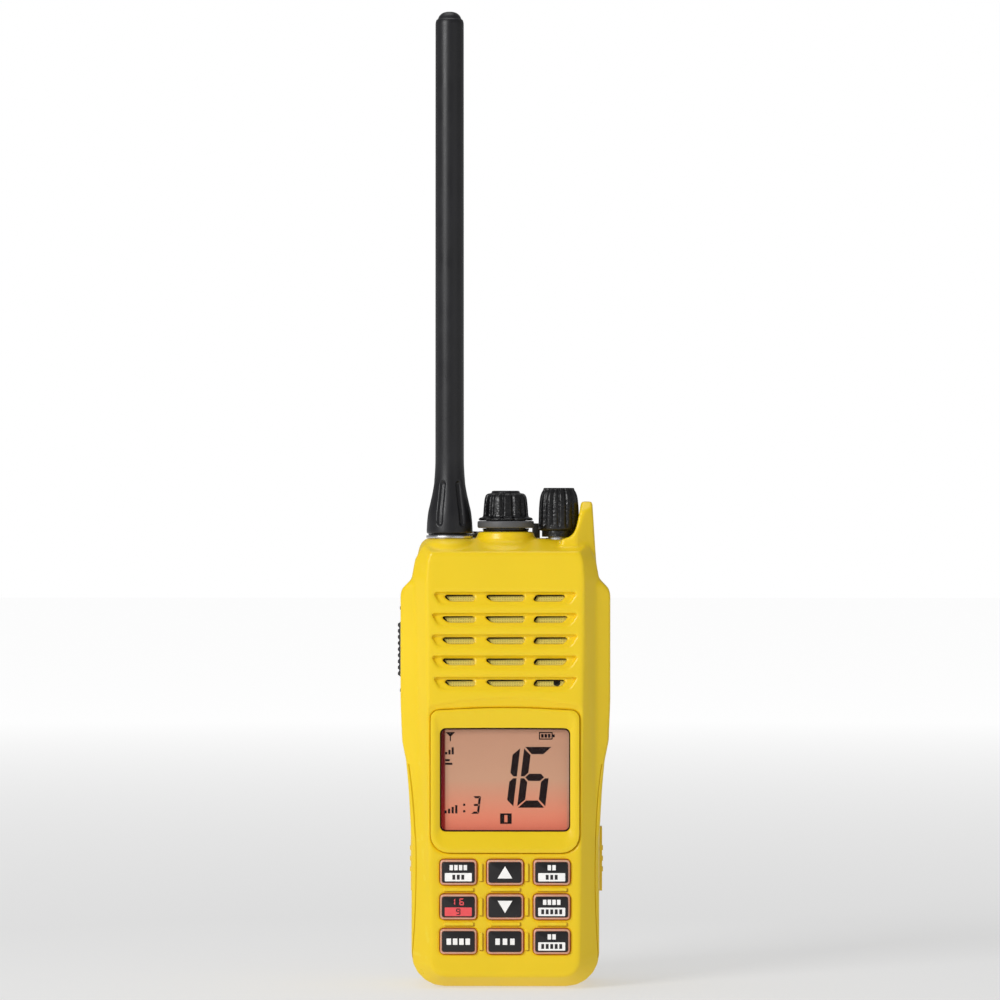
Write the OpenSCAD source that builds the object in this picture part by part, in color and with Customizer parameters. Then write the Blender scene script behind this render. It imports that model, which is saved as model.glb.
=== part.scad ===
// Handheld two-way radio with a whip antenna, keypad, belt clip and clip-on battery.
// Millimetres. X to the right, front towards -Y, Z up; the origin is the middle of the base.

/* [Body] */
// Width of the case below the side cheeks
body_w = 52.4; // [52:0.2:64]
// Height from the base to the top deck
body_h = 124.8; // [116:0.2:150]
// Depth from the front panel to the back of the battery
body_d = 38; // [36:0.5:46]
// Depth of the front case, from the panel to the seam
front_d = 22; // [21.5:0.5:26]
// How far each side cheek stands out
cheek_out = 3.1; // [1.5:0.1:4]
// Width of each sloping facet beside the front panel, below the cheeks
facet_w = 5.2; // [4:0.1:6.5]
// Wall thickness of the cases
wall = 2.4; // [2.2:0.1:2.9]
// Thickness of the gasket between the cases
gasket_t = 0.6; // [0.4:0.1:1]
// Radius of the bottom corners
corner_r = 9.2; // [6:0.2:10]

/* [Grille] */
// Rows of speaker slots
slot_rows = 5; // [3:1:5]
// Height from one row to the next
slot_pitch = 5.9; // [5.4:0.1:6.3]
// Height of a slot
slot_h = 1.8; // [1.4:0.1:2.2]
// Height of the scoop that each row lies in
scoop_h = 4.2; // [3.6:0.1:4.6]

/* [Display] */
// Width of the display window
window_w = 36.2; // [32:0.2:37]
// Height of the frame above and below the window
bezel_rim = 5.9; // [4:0.1:7]
// How far the frame stands out of the panel
bezel_proud = 0.7; // [0.4:0.1:1.2]

/* [Keys] */
// Height of a key
key_h = 6.9; // [5:0.1:7.2]
// Gap between the columns of keys
key_gap = 2.7; // [2.2:0.1:3.6]
// Height from one row of keys to the next
key_pitch = 9.6; // [9.4:0.1:10.2]
// Width of the soft frame around each cap
key_rim = 0.6; // [0.5:0.05:1]
// Travel of a key
key_travel = 0.7; // [0.4:0.1:0.8]

/* [Top controls] */
// Largest diameter of the volume knob
knob_d = 11.4; // [9.5:0.1:12.4]
// Height of the volume knob above the deck
knob_h = 14.2; // [11:0.1:16]
// Height of the guard beside the knob
guard_h = 10.2; // [7:0.1:13]
// Diameter of the jack cap's flange
cap_d = 15.2; // [13.6:0.1:15.8]
// Height of the jack cap above its boss
cap_h = 11.6; // [10:0.1:14]
// Diameter of the antenna's foot
antenna_d = 12.9; // [11:0.1:13.4]
// Diameter of the antenna's whip
whip_d = 8; // [7.4:0.1:9]
// Height of the antenna above the deck
antenna_h = 147.6; // [100:1:200]

/* [Push to talk] */
// Length of the push-to-talk pad
ptt_len = 27; // [20:1:27]
// Width of the pad
ptt_w = 8; // [6:0.5:9]
// Travel of the pad
ptt_travel = 0.8; // [0.4:0.1:0.9]

/* [Battery and clip] */
// Height of the battery
battery_h = 97; // [84:1:99]
// Thickness of the battery's wall
battery_wall = 1.6; // [1.2:0.1:2]
// Length of the side latch tabs
latch_len = 18; // [12:1:24]
// How far a latch tab stands out
latch_proud = 0.9; // [0.5:0.1:1.4]
// Gap behind the battery for a belt
belt_gap = 5; // [4.6:0.1:7]
// Width of the belt clip
clip_w = 17; // [14:0.5:22]
// Length of the belt clip
clip_len = 64; // [45:1:70]

/* [Fits] */
// Clearance of a shaft in its bore
run_fit = 0.06; // [0.03:0.01:0.1]
// Clearance around pieces that are dropped in
drop_fit = 0.1; // [0.05:0.05:0.2]
// Clearance around keys, pads and latches
slide_gap = 0.25; // [0.2:0.05:0.3]

/* [Hidden] */
$fn = 48;
over = 1;
hw = body_w / 2;
y_front = -body_d / 2;
y_back = body_d / 2;
y_split = y_front + front_d;
y_rear = y_split + gasket_t;
rear_plate = 3.4;
y_bay = y_rear + rear_plate;
bay_gap = 0.3;
y_bat = y_bay + bay_gap;
y_in = y_front + wall;
panel_hw = hw - facet_w;
deck_t = 2.6;
z_top = body_h;
z_under = z_top - deck_t;
top_r = 3.6;
bevel = 3.4;

// Zones of the front panel, from the top down and from the base up
slot_top = z_top - 15.6;
grille_low = slot_top - (slot_rows - 1) * slot_pitch - scoop_h;
key_low = 13;
keys_top = key_low + 2 * key_pitch + key_h / 2;
bezel_low = keys_top + 1.9;
bezel_top = grille_low - 3.3;
bezel_hw = window_w / 2 + 2.6;
win_low = bezel_low + bezel_rim;
win_top = bezel_top - bezel_rim;
win_mid = (win_low + win_top) / 2;
win_h = win_top - win_low;
cheek_low = z_top - 59;
cheek_top = z_top - 15.8;

// Depths of the stack behind the panel
lcd_gap = 0.2;
lcd_t = 1.6;
guide_t = 2.2;
y_lcd = y_in + lcd_gap;
y_guide = y_lcd + lcd_t;
board_t = 1.6;
y_board = y_guide + guide_t + 0.6;
mat_t = 0.8;
dome_t = 0.5;
y_mat = y_board - dome_t - 0.2 - mat_t;
pocket_d = 1.4;
y_bezel = y_front + pocket_d;
lens_t = 1.1;
lens_lip = 1;

// Keys
key_cols = 3;
key_margin = 2.9;
key_w = (2 * panel_hw - 2 * key_margin - 2 * key_gap) / key_cols;
key_dx = key_w + key_gap;
key_proud = 0.9;
cap_proud = 0.3;
cap_seat = 0.5;
key_flange = 0.7;
key_flange_t = 0.7;
y_key = y_front - key_proud;
y_flange = y_in + 0.2;
plunger_r = 1.5;

// Top controls: the guard sets the knob's place, and the cap stands midway
ctrl_y = y_split - 9;
guard_in = hw - 5.7;
guard_gap = 0.7;
knob_r = knob_d / 2;
knob_x = guard_in + 0.1 - knob_r;
antenna_r = antenna_d / 2;
antenna_x = -(hw - 10.5);
cap_r = cap_d / 2;
cap_x = (antenna_x + antenna_r + knob_x - knob_r) / 2 + 0.05;
boss_h = 1.8;
boss_r = 6.5;
boss_flare = 1.4;
z_boss = z_top + boss_h;
stem_r = 4;
core_r = 5.5;
seal_t = 0.35;
z_cap = z_boss + 0.05 + seal_t;
ring_t = 2;
z_ring = z_cap + 0.75;
cap_pitch = 1.5;
shaft_r = 3;
bush_r = 3.6;
plug_r = 3.5;
socket_r = 4.6;
ring_h = 0.9;
z_foot = z_top + ring_h + 0.05;
foot_seal_t = 0.35;
z_sleeve = z_foot + foot_seal_t + 0.05;
z_tip = z_top + antenna_h;
foot_h = 21;
plug_deep = 7;
strap_r = cap_r + 1.75;
strap_w = 1.3;
strap_t = 1.1;
strap_eye_r = 2.2;
strap_eye_a = 138;
strap_eye_d = cap_r + 3.1;
tongue_a = 25;
tongue_w = 2.4;

// Speaker and microphone
speaker_r = 14;
speaker_z = (slot_top + grille_low + slot_pitch - slot_h) / 2 - 0.2;
mesh_t = 0.3;
mic_x = 14.4;
mic_z = slot_top - (slot_rows - 1) * slot_pitch - slot_h / 2 + 0.1;
mic_r = 1.6;

// Push to talk
cheek_x = hw + cheek_out;
ptt_y = y_split - 7;
ptt_z = cheek_top - 15.2;
ptt_proud = 0.9;
ptt_flange = 0.8;
x_ptt_in = wall + 0.35 - cheek_x;

// Screws that hold the two cases together
screw_r = 1.2;
post_r = 2.6;
screw_low = key_low - key_h / 2 - key_flange - post_r - 0.2;
screw_x = hw - 6.6;
screw_high = ptt_z + ptt_len / 2 + ptt_flange + post_r + 0.4;
screw_high_x = hw - 3.5;
screw_places = [[-screw_x, screw_low], [screw_x, screw_low],
    [-screw_high_x, screw_high], [screw_high_x, screw_high]];
head_r = 2.1;
head_t = 1.4;
tower_r = 3.3;

// Battery bay
z_bat = battery_h;
z_head = z_bat + 0.5;
latch_mid = 34;
latch_y = (y_bat + y_back) / 2 + 0.4;
latch_w = 6.4;
latch_in = 3.6;
latch_flange = 0.8;
latch_travel = 0.8;
cell_hw = hw - latch_in - 2.6;
contact_z = z_bat - 9;
contact_dx = 6;

// Belt clip
clip_z = z_bat - 11;
clip_low = z_bat - 4 - clip_len;
clip_t = 2.2;
y_clip = y_back + belt_gap;
pivot_y = y_clip + 0.3;
pivot_r = 1;
ear_t = 1.6;
clip_gap = 0.35;
base_t = 1.5;

// Lanyard eye on the back of the head
eye_x = -(hw - 10);
eye_w = 4;
eye_r = 1.75;
eye_y = y_back + 2.6;
eye_z = z_top - 13;

KEY_NAMES = ["key_channel", "key_up", "key_weather", "key_calling", "key_down",
    "key_power", "key_scan", "key_memory", "key_dual"];

// Points on a quarter or part of an ellipse
function arc(cx, cz, rx, rz, a0, a1, n = 8) =
    [for (k = [0:n]) let (a = a0 + (a1 - a0) * k / n) [cx + rx * cos(a), cz + rz * sin(a)]];

function flip(points) = [for (k = [len(points) - 1:-1:0]) [-points[k][0], points[k][1]]];

// Right half of the front outline, drawn in by i; c is 1 with the cheeks and 0 without
function half_outline(i, c) = concat(
    arc(hw - corner_r, corner_r, corner_r - i, corner_r - i, -90, 0),
    [[hw - i, cheek_low - 22],
        [hw + c * cheek_out * 0.28 - i, cheek_low - 10],
        [hw + c * cheek_out * 0.5 - i, cheek_low - 3],
        [hw + c * cheek_out * 0.87 - i, cheek_low + 3],
        [hw + c * cheek_out - i, cheek_low + 14],
        [hw + c * cheek_out - i, cheek_top - i / 2],
        [hw + c * cheek_out * 0.7 - i, cheek_top + 2.6 - i / 2],
        [hw - i, cheek_top + 4.6 - i / 2],
        [hw - 0.7 - i, cheek_top + 8]],
    arc(hw - 1.5 - top_r, z_top - top_r, top_r - i, top_r - i, 0, 90, 6));

function outline(i, c) = concat(half_outline(i, c), flip(half_outline(i, c)));

// A rounded rectangle in the front view, centred
module round_rect(w, h, r)
{
    polygon(concat(arc(w / 2 - r, h / 2 - r, r, r, 0, 90, 5),
        arc(r - w / 2, h / 2 - r, r, r, 90, 180, 5),
        arc(r - w / 2, r - h / 2, r, r, 180, 270, 5),
        arc(w / 2 - r, r - h / 2, r, r, 270, 360, 5)));
}

// Stands a front view up and gives it depth from y0 to y1
module deep(y0, y1)
{
    translate([0, y1, 0]) rotate([90, 0, 0]) linear_extrude(y1 - y0) children();
}

// The case's solid form between two depths, drawn in by i
module case_form(i, y0, y1, c = 1)
{
    k = sqrt(2) - 1;
    intersection() {
        deep(y0, y1) polygon(outline(i, c));
        translate([0, 0, -over]) linear_extrude(z_top + 2 * over)
            polygon([[-panel_hw + k * i, y_front + i], [panel_hw - k * i, y_front + i],
                [panel_hw - k * i + 12, y_front + i + 12], [panel_hw + 12, y_back + over],
                [-panel_hw - 12, y_back + over], [-panel_hw + k * i - 12, y_front + i + 12]]);
        translate([-body_w, 0, 0]) rotate([90, 0, 90]) linear_extrude(2 * body_w)
            polygon([[y_front + i, bevel + 1.2 + k * i], [y_front + bevel + k * i, i],
                [y_back + over, i], [y_back + over, z_top - i],
                [y_front + bevel + k * i, z_top - i], [y_front + i, z_top - bevel - k * i]]);
    }
}

module post(place, r, y0, y1)
{
    translate([place[0], y1, place[1]]) rotate([90, 0, 0]) cylinder(r = r, h = y1 - y0);
}

// One slot of the grille: x0 to x1 along its top, with slanted ends
module slot(x0, x1, z1, s0, s1, h)
{
    polygon([[x0, z1], [x1, z1], [x1 + s1, z1 - h], [x0 + s0, z1 - h]]);
}

module grille_cuts()
{
    for (k = [0:slot_rows - 1]) {
        z = slot_top - k * slot_pitch;
        bow = 1.1 * sin(180 * (k + 0.6) / (slot_rows + 0.2));
        deep(y_front - over, y_front + 0.9)
            slot(-19.6 - bow, 20.2 + bow * 0.4, z + 0.9, 2.6, -3.4, scoop_h);
        deep(y_front, y_in + over) {
            slot(-17 - bow, -8.5, z, 2, 0, slot_h);
            slot(-6, 5.6, z, 2, 0, slot_h);
            slot(7.6, 17 + bow, z, -1.1, -1.6, slot_h);
        }
    }
}

module guard()
{
    x_out = hw - 1.3;
    r = 3.6;
    difference() {
        deep(ctrl_y - 9, y_split - 0.5)
            polygon(concat([[x_out, z_top - 3], [hw - 2.1, z_top + guard_h - 0.6],
                [hw - 2.8, z_top + guard_h], [hw - 4.6, z_top + guard_h],
                [hw - 5, z_top + guard_h - 1.4]],
                arc(guard_in - r, z_top + r + 0.1, r, r, 0, -90, 6),
                [[guard_in - r - 0.4, z_top - 1]]));
        translate([knob_x, ctrl_y, z_top + 0.1]) cylinder(r = knob_r + guard_gap, h = guard_h + over);
    }
}

module front_case()
{
    color("gold") difference() {
        union() {
            difference() {
                case_form(0, y_front, y_split);
                case_form(wall, y_in, y_split + over);
            }
            intersection() {
                case_form(0, y_front, y_split);
                for (p = screw_places) post(p, post_r, y_front, y_split);
            }
            guard();
            translate([cap_x, ctrl_y, z_top - 0.4])
                cylinder(r1 = boss_r + boss_flare, r2 = boss_r, h = boss_h + 0.4);
        }
        for (p = screw_places) post(p, screw_r + 0.05, y_board, y_split + over);
        grille_cuts();
        deep(y_front - over, y_bezel + drop_fit) bezel_outline(drop_fit);
        translate([0, 0, win_mid]) deep(y_front, y_in + over) square([window_w, win_h], center = true);
        each_key() deep(y_front - over, y_in + over)
            round_rect(key_w + 2 * slide_gap, key_h + 2 * slide_gap, 1.1);
        translate([knob_x, ctrl_y, z_under - over]) cylinder(r = bush_r + drop_fit, h = deck_t + 2 * over);
        translate([cap_x, ctrl_y, z_under - over])
            cylinder(r = stem_r + 1 + drop_fit, h = deck_t + boss_h + 2 * over);
        translate([antenna_x, ctrl_y, z_under - over])
            cylinder(r = socket_r + drop_fit, h = deck_t + 2 * over);
        eye_place() translate([0, 0, z_top - 2]) cylinder(r = 0.95, h = 2 + over);
        translate([-cheek_x - over, ptt_y - ptt_w / 2 - slide_gap, ptt_z - ptt_len / 2 - slide_gap])
            cube([wall + 2 * over, ptt_w + 2 * slide_gap, ptt_len + 2 * slide_gap]);
    }
}

module case_gasket()
{
    color("black") difference() {
        case_form(0.6, y_split, y_rear);
        case_form(wall - 0.2, y_split - over, y_rear + over);
        for (p = screw_places) post(p, screw_r + 0.1, y_split - over, y_rear + over);
    }
}

module rear_case()
{
    color("gold") difference() {
        union() {
            case_form(0, y_rear, y_bay);
            intersection() {
                case_form(0, y_rear, y_back, 0);
                translate([-hw, y_rear, z_head]) cube([body_w, body_d, z_top - z_head]);
            }
            translate([eye_x, y_back - over, eye_z]) eye_lug();
        }
        difference() {
            union() {
                case_form(wall, y_rear - over, y_bay - 2);
                intersection() {
                    case_form(wall, y_bay - 2 - over, y_back - wall, 0);
                    translate([-hw, y_rear, z_head + wall]) cube([body_w, body_d, z_top]);
                }
            }
            for (p = screw_places) post(p, tower_r, y_rear, y_back);
        }
        for (p = screw_places) {
            post(p, screw_r + 0.05, y_rear - over, y_back + over);
            post(p, head_r + drop_fit, y_bay - head_t, y_back + over);
        }
        translate([-contact_dx * 2, y_bay - 2 - over, contact_z - 2.6])
            cube([contact_dx * 4, 2 + 2 * over, 5.2]);
        translate([eye_x - eye_w, eye_y, eye_z]) rotate([0, 90, 0])
            cylinder(r = eye_r, h = 2 * eye_w);
    }
}

module eye_lug()
{
    lug = eye_r + 1.6;
    translate([-eye_w / 2, eye_y - y_back + over, 0]) rotate([0, 90, 0]) cylinder(r = lug, h = eye_w);
    translate([-eye_w / 2, 0, -lug]) cube([eye_w, eye_y - y_back + over, 2 * lug]);
}

module case_screws()
{
    y_seat = y_bay - head_t;
    color("silver") for (p = screw_places) {
        post(p, screw_r, y_board + 1.2, y_seat + 0.2);
        difference() {
            post(p, head_r, y_seat, y_seat + head_t - 0.1);
            post(p, 0.9, y_seat + 0.6, y_seat + head_t + over);
        }
    }
}

// The display frame's outline in the front view, g larger all round, with an arched top
module bezel_outline(g)
{
    w = bezel_hw + g;
    polygon(concat(arc(w - 5.6, bezel_low + 5 - g, 5, 5, -90, -8, 6),
        arc(w - 2.2, bezel_top - 3.2 + g, 2.2, 2.2, 0, 80, 5),
        [[0, bezel_top + g]],
        arc(2.2 - w, bezel_top - 3.2 + g, 2.2, 2.2, 100, 180, 5),
        arc(5.6 - w, bezel_low + 5 - g, 5, 5, 188, 270, 6)));
}

module display_bezel()
{
    color("gold") difference() {
        deep(y_front - bezel_proud, y_bezel) bezel_outline(0);
        translate([0, 0, win_mid]) {
            deep(y_front - bezel_proud - over, y_bezel + over) round_rect(window_w, win_h, 1.5);
            deep(y_bezel - lens_t - drop_fit, y_bezel + over)
                square([window_w + 2 * lens_lip + 2 * drop_fit, win_h + 2 * lens_lip + 2 * drop_fit],
                    center = true);
        }
    }
}

module display_window()
{
    color([0.9, 0.85, 0.8, 0.5]) translate([0, 0, win_mid]) deep(y_bezel - lens_t, y_bezel)
        square([window_w + 2 * lens_lip, win_h + 2 * lens_lip], center = true);
}

module lcd_panel()
{
    color([0.8, 0.6, 0.5]) translate([0, 0, win_mid]) deep(y_lcd, y_guide)
        square([window_w + 2, win_h + 3], center = true);
}

module light_guide()
{
    color("white") translate([0, 0, win_mid]) deep(y_guide, y_guide + guide_t)
        square([window_w + 3, win_h + 4], center = true);
}

module each_key()
{
    for (row = [0:2], col = [0:2])
        translate([(col - 1) * key_dx, 0, key_low + (2 - row) * key_pitch]) children();
}

module key_place(k)
{
    translate([(k % 3 - 1) * key_dx, 0, key_low + (2 - floor(k / 3)) * key_pitch]) children();
}

module keypad_mat()
{
    color("mistyrose") difference() {
        translate([0, 0, key_low + key_pitch]) deep(y_mat, y_mat + mat_t)
            square([2 * key_dx + key_w + 3, 2 * key_pitch + key_h + 2], center = true);
        for (p = screw_places) post(p, post_r + 0.3, y_mat - over, y_mat + mat_t + over);
    }
}

module dome_switches()
{
    color("silver") each_key() post([0, 0], 2.4, y_board - dome_t, y_board);
}

module main_board()
{
    top = grille_low - 1.5;
    color("darkgreen") difference() {
        union() {
            translate([1.5 - hw + wall, y_board, 5]) cube([body_w - 2 * wall - 3, board_t, top - 5]);
            translate([3 - hw + wall, y_board + board_t, 18])
                cube([body_w - 2 * wall - 6, 2.6, top - 30]);
        }
        for (p = screw_places) post(p, post_r + 0.3, y_board - over, y_split);
    }
}

module speaker()
{
    color("dimgray") translate([0, 0, speaker_z]) {
        post([0, 0], speaker_r, y_in + 0.9, y_in + 2.4);
        post([0, 0], speaker_r - 3, y_in + 2.4, y_in + 4.6);
        post([0, 0], 7.5, y_in + 4.6, y_in + 7.6);
    }
}

module speaker_mesh()
{
    low = grille_low - 1;
    color("khaki") difference() {
        translate([-19.2, y_in + 0.1, low]) cube([38.4, mesh_t, slot_top + 2 - low]);
        post([mic_x, mic_z], mic_r - 0.6, y_in - over, y_in + over);
    }
}

module microphone()
{
    color("black") difference() {
        post([mic_x, mic_z], mic_r, y_in + 0.6, y_in + 3.6);
        post([mic_x, mic_z], 0.5, y_in, y_in + 1.2);
    }
}

module volume_pot()
{
    color("dimgray") difference() {
        union() {
            translate([knob_x - 5, ctrl_y - 5, z_under - 10.5]) cube([10, 10, 9.5]);
            translate([knob_x, ctrl_y, z_under - 1]) cylinder(r = bush_r, h = deck_t + 1.2);
        }
        translate([knob_x, ctrl_y, z_under - 8]) cylinder(r = shaft_r + run_fit, h = 20);
    }
}

module pot_shaft()
{
    color("silver") translate([knob_x, ctrl_y, z_under - 7.8])
        cylinder(r = shaft_r, h = deck_t + 7.8 + knob_h - 4);
}

module volume_knob()
{
    r = knob_r;
    color([0.12, 0.12, 0.13]) translate([knob_x, ctrl_y, z_top]) difference() {
        rotate_extrude($fn = 64) polygon([[0, 0.5], [r * 0.84, 0.5], [r * 0.84, 2.2], [r - 0.2, 2.4],
            [r, 3], [r, knob_h - 5.6], [r - 0.4, knob_h - 2.2], [r - 1.1, knob_h - 0.5],
            [r * 0.76, knob_h - 0.4], [r * 0.74, knob_h], [0, knob_h]]);
        for (k = [0:15]) rotate(k * 22.5) translate([r + 0.25, 0, 3.4]) cylinder(r = 0.5, h = knob_h, $fn = 16);
        translate([0, 0, 0]) cylinder(r = shaft_r + 0.02, h = knob_h - 3.9);
        translate([0, 0, 0]) cylinder(r = bush_r + 0.4, h = 1);
    }
}

module jack_socket()
{
    color("goldenrod") translate([cap_x, ctrl_y, 0]) difference() {
        union() {
            translate([0, 0, z_under - 8]) cylinder(r = stem_r + 1, h = deck_t + boss_h + 8);
            translate([0, 0, z_under - 3]) cylinder(r = stem_r + 2.4, h = 2.8);
        }
        translate([0, 0, z_under - 4]) cylinder(r = stem_r + run_fit, h = 20);
    }
}

module jack_cap()
{
    core = core_r;
    color([0.12, 0.12, 0.13]) translate([cap_x, ctrl_y, 0]) difference() {
        union() {
            translate([0, 0, z_cap - seal_t - 5.5]) cylinder(r = stem_r, h = 6);
            rotate_extrude($fn = 64) polygon([[0, z_cap], [6.4, z_cap], [6.5, z_ring - 0.1],
                [core, z_ring - 0.1], [core, z_ring + ring_t + 0.1], [cap_r, z_ring + ring_t + 0.1],
                [cap_r, z_ring + ring_t + 0.8], [6.3, z_ring + ring_t + 1.1],
                [5.9, z_boss + cap_h - 2], [5, z_boss + cap_h - 0.7], [4, z_boss + cap_h - 0.5],
                [3.2, z_boss + cap_h], [0, z_boss + cap_h]]);
        }
        for (k = [0:11]) rotate(k * 30 + 15)
            translate([6.75, 0, z_ring + ring_t + 1.3]) cylinder(r = 0.7, h = cap_h, $fn = 16);
        translate([0, 0, z_cap - seal_t - 6]) cylinder(r = stem_r - 1.4, h = 5);
    }
}

module tube(x, r_in, r_out, z0, h)
{
    translate([x, ctrl_y, z0]) difference() {
        cylinder(r = r_out, h = h);
        translate([0, 0, -over]) cylinder(r = r_in, h = h + 2 * over);
    }
}

module cap_seal()
{
    color("black") tube(cap_x, stem_r + 0.02, 6.3, z_cap - seal_t, seal_t);
}

module tether_ring()
{
    r = cap_r - 0.1;
    color("dimgray") tube(cap_x, core_r + run_fit, r, z_ring, ring_t);
    color("dimgray") translate([cap_x, ctrl_y, z_ring]) rotate(tongue_a)
        translate([r - 0.4, -tongue_w / 2, 0]) cube([strap_r - strap_w / 2 - 0.05 - r + 0.4, tongue_w, 1.3]);
}

// The anchor of the cap's strap, seen from the cap's axis
module eye_place()
{
    translate([cap_x, ctrl_y, 0]) rotate(strap_eye_a) translate([strap_eye_d, 0, 0]) children();
}

// A band behind the boss, from the anchor round to a tongue that climbs to the ring
module tether_strap()
{
    z0 = z_top + 0.15;
    color("black") difference() {
        union() {
            translate([cap_x, ctrl_y, z0]) rotate(tongue_a - 5)
                rotate_extrude(angle = strap_eye_a - tongue_a + 5, $fn = 64)
                    translate([strap_r - strap_w / 2, 0]) square([strap_w, strap_t]);
            eye_place() translate([0, 0, z0]) cylinder(r = strap_eye_r, h = strap_t);
            translate([cap_x, ctrl_y, z0]) rotate(tongue_a)
                translate([strap_r - strap_w / 2, -tongue_w / 2, 0])
                    cube([strap_w, tongue_w, z_ring - z0 + 1.3]);
        }
        eye_place() translate([0, 0, z0 - over]) cylinder(r = 1, h = strap_t + 2 * over);
        translate([cap_x, ctrl_y, z_top]) cylinder(r = boss_r + boss_flare + 0.2, h = strap_t + over);
    }
}

module tether_screw()
{
    color("silver") eye_place() {
        translate([0, 0, z_top - 1.8]) cylinder(r = 0.9, h = 1.9 + strap_t + 0.4);
        translate([0, 0, z_top + 0.2 + strap_t]) cylinder(r = 1.7, h = 0.7);
    }
}

module antenna_socket()
{
    color("goldenrod") tube(antenna_x, plug_r + run_fit, socket_r, z_under - 7, deck_t + 7.3);
    color("goldenrod") translate([antenna_x, ctrl_y, z_under - 10]) cylinder(r = socket_r, h = 3.2);
    color("goldenrod") tube(antenna_x, socket_r - 0.2, socket_r + 1.2, z_under - 2.2, 2.1);
}

module antenna_ring()
{
    color("silver") tube(antenna_x, socket_r + 0.15, antenna_r + 0.1, z_top, ring_h);
}

module antenna_seal()
{
    color("black") tube(antenna_x, plug_r + run_fit, antenna_r - 0.5, z_foot, foot_seal_t);
}

module antenna_sleeve()
{
    r = antenna_r;
    w = whip_d / 2;
    color([0.1, 0.1, 0.11]) translate([antenna_x, ctrl_y, 0]) difference() {
        rotate_extrude($fn = 64) polygon([[0, z_sleeve], [r, z_sleeve], [r, z_sleeve + 1.4],
            [r - 0.15, z_sleeve + 3.6], [r - 0.4, z_sleeve + 5.8], [r - 0.9, z_sleeve + 8],
            [r - 1.4, z_sleeve + 10.2], [r - 1.85, z_sleeve + 12.6], [w + 0.28, z_sleeve + 15],
            [w + 0.12, z_sleeve + 17.4], [w, z_sleeve + foot_h], [w, z_tip - 2.4],
            [w - 0.5, z_tip - 1.9], [w * 0.78, z_tip - 0.7], [w * 0.4, z_tip - 0.1], [0, z_tip]]);
        for (k = [0:7]) rotate(k * 45 - 106) translate([r - 1.15, 0, z_sleeve + 2]) rotate([0, -9.5, 0])
            translate([0.6, -0.9, 0]) cube([2, 1.8, 12.6]);
        translate([0, 0, z_sleeve - over]) cylinder(r = plug_r + 0.02, h = 12 + over);
        translate([0, 0, z_sleeve + 12]) cylinder(r = w - 1.4, h = antenna_h - 24);
    }
}

module antenna_plug()
{
    color("goldenrod") translate([antenna_x, ctrl_y, 0]) {
        translate([0, 0, z_top - plug_deep]) cylinder(r = plug_r, h = z_sleeve - z_top + plug_deep + 11.8);
    }
}

module antenna_coil()
{
    color("peru") tube(antenna_x, whip_d / 2 - 2.2, whip_d / 2 - 1.6, z_sleeve + 12.5, antenna_h - 27);
}

module ptt_pad()
{
    x0 = -cheek_x - ptt_proud;
    low = ptt_z - ptt_len / 2;
    color([0.15, 0.15, 0.16]) {
        translate([x0 + 0.35, ptt_y - ptt_w / 2, low])
            cube([x_ptt_in - x0 - 0.25, ptt_w, ptt_len]);
        for (k = [0:8]) translate([x0, ptt_y - ptt_w / 2 + 1, ptt_z - 7.25 + k * 1.7])
            cube([0.4, ptt_w - 2, 0.9]);
        translate([x_ptt_in, ptt_y - ptt_w / 2 - ptt_flange, low - ptt_flange])
            cube([ptt_flange, ptt_w + 2 * ptt_flange, ptt_len + 2 * ptt_flange]);
    }
}

module ptt_switch()
{
    x0 = x_ptt_in + ptt_flange + ptt_travel + 0.1;
    color("dimgray") {
        translate([x0, ptt_y - 1, ptt_z - 1]) cube([0.8, 2, 2]);
        translate([x0 + 0.7, ptt_y - 3, ptt_z - 3]) cube([2.6, 6, 6]);
    }
}

module contact_block()
{
    color("dimgray") difference() {
        translate([drop_fit - contact_dx * 2, y_bay - 3.2, contact_z - 2.5])
            cube([contact_dx * 4 - 2 * drop_fit, 3.2, 5]);
        for (k = [-1.5:1:1.5]) post([k * contact_dx, contact_z], 1.25, y_bay - 1, y_bay + over);
    }
    color("gold") for (k = [-1.5:1:1.5]) post([k * contact_dx, contact_z], 0.9, y_bay - 1.2, y_bay + 0.2);
}

module key_frame(k)
{
    color([1, 0.75, 0.65]) key_place(k) difference() {
        union() {
            deep(y_key, y_flange + 0.1) round_rect(key_w, key_h, 0.85);
            deep(y_flange, y_flange + key_flange_t)
                square([key_w + 2 * key_flange, key_h + 2 * key_flange], center = true);
            post([0, 0], plunger_r, y_flange, y_mat - key_travel - 0.1);
        }
        deep(y_key - over, y_key + cap_seat)
            round_rect(key_w - 2 * key_rim + 0.06, key_h - 2 * key_rim + 0.06, 0.55);
    }
}

module key_cap(k)
{
    color([0.14, 0.14, 0.15]) key_place(k) deep(y_key - cap_proud, y_key + cap_seat)
        round_rect(key_w - 2 * key_rim, key_h - 2 * key_rim, 0.5);
}

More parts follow.
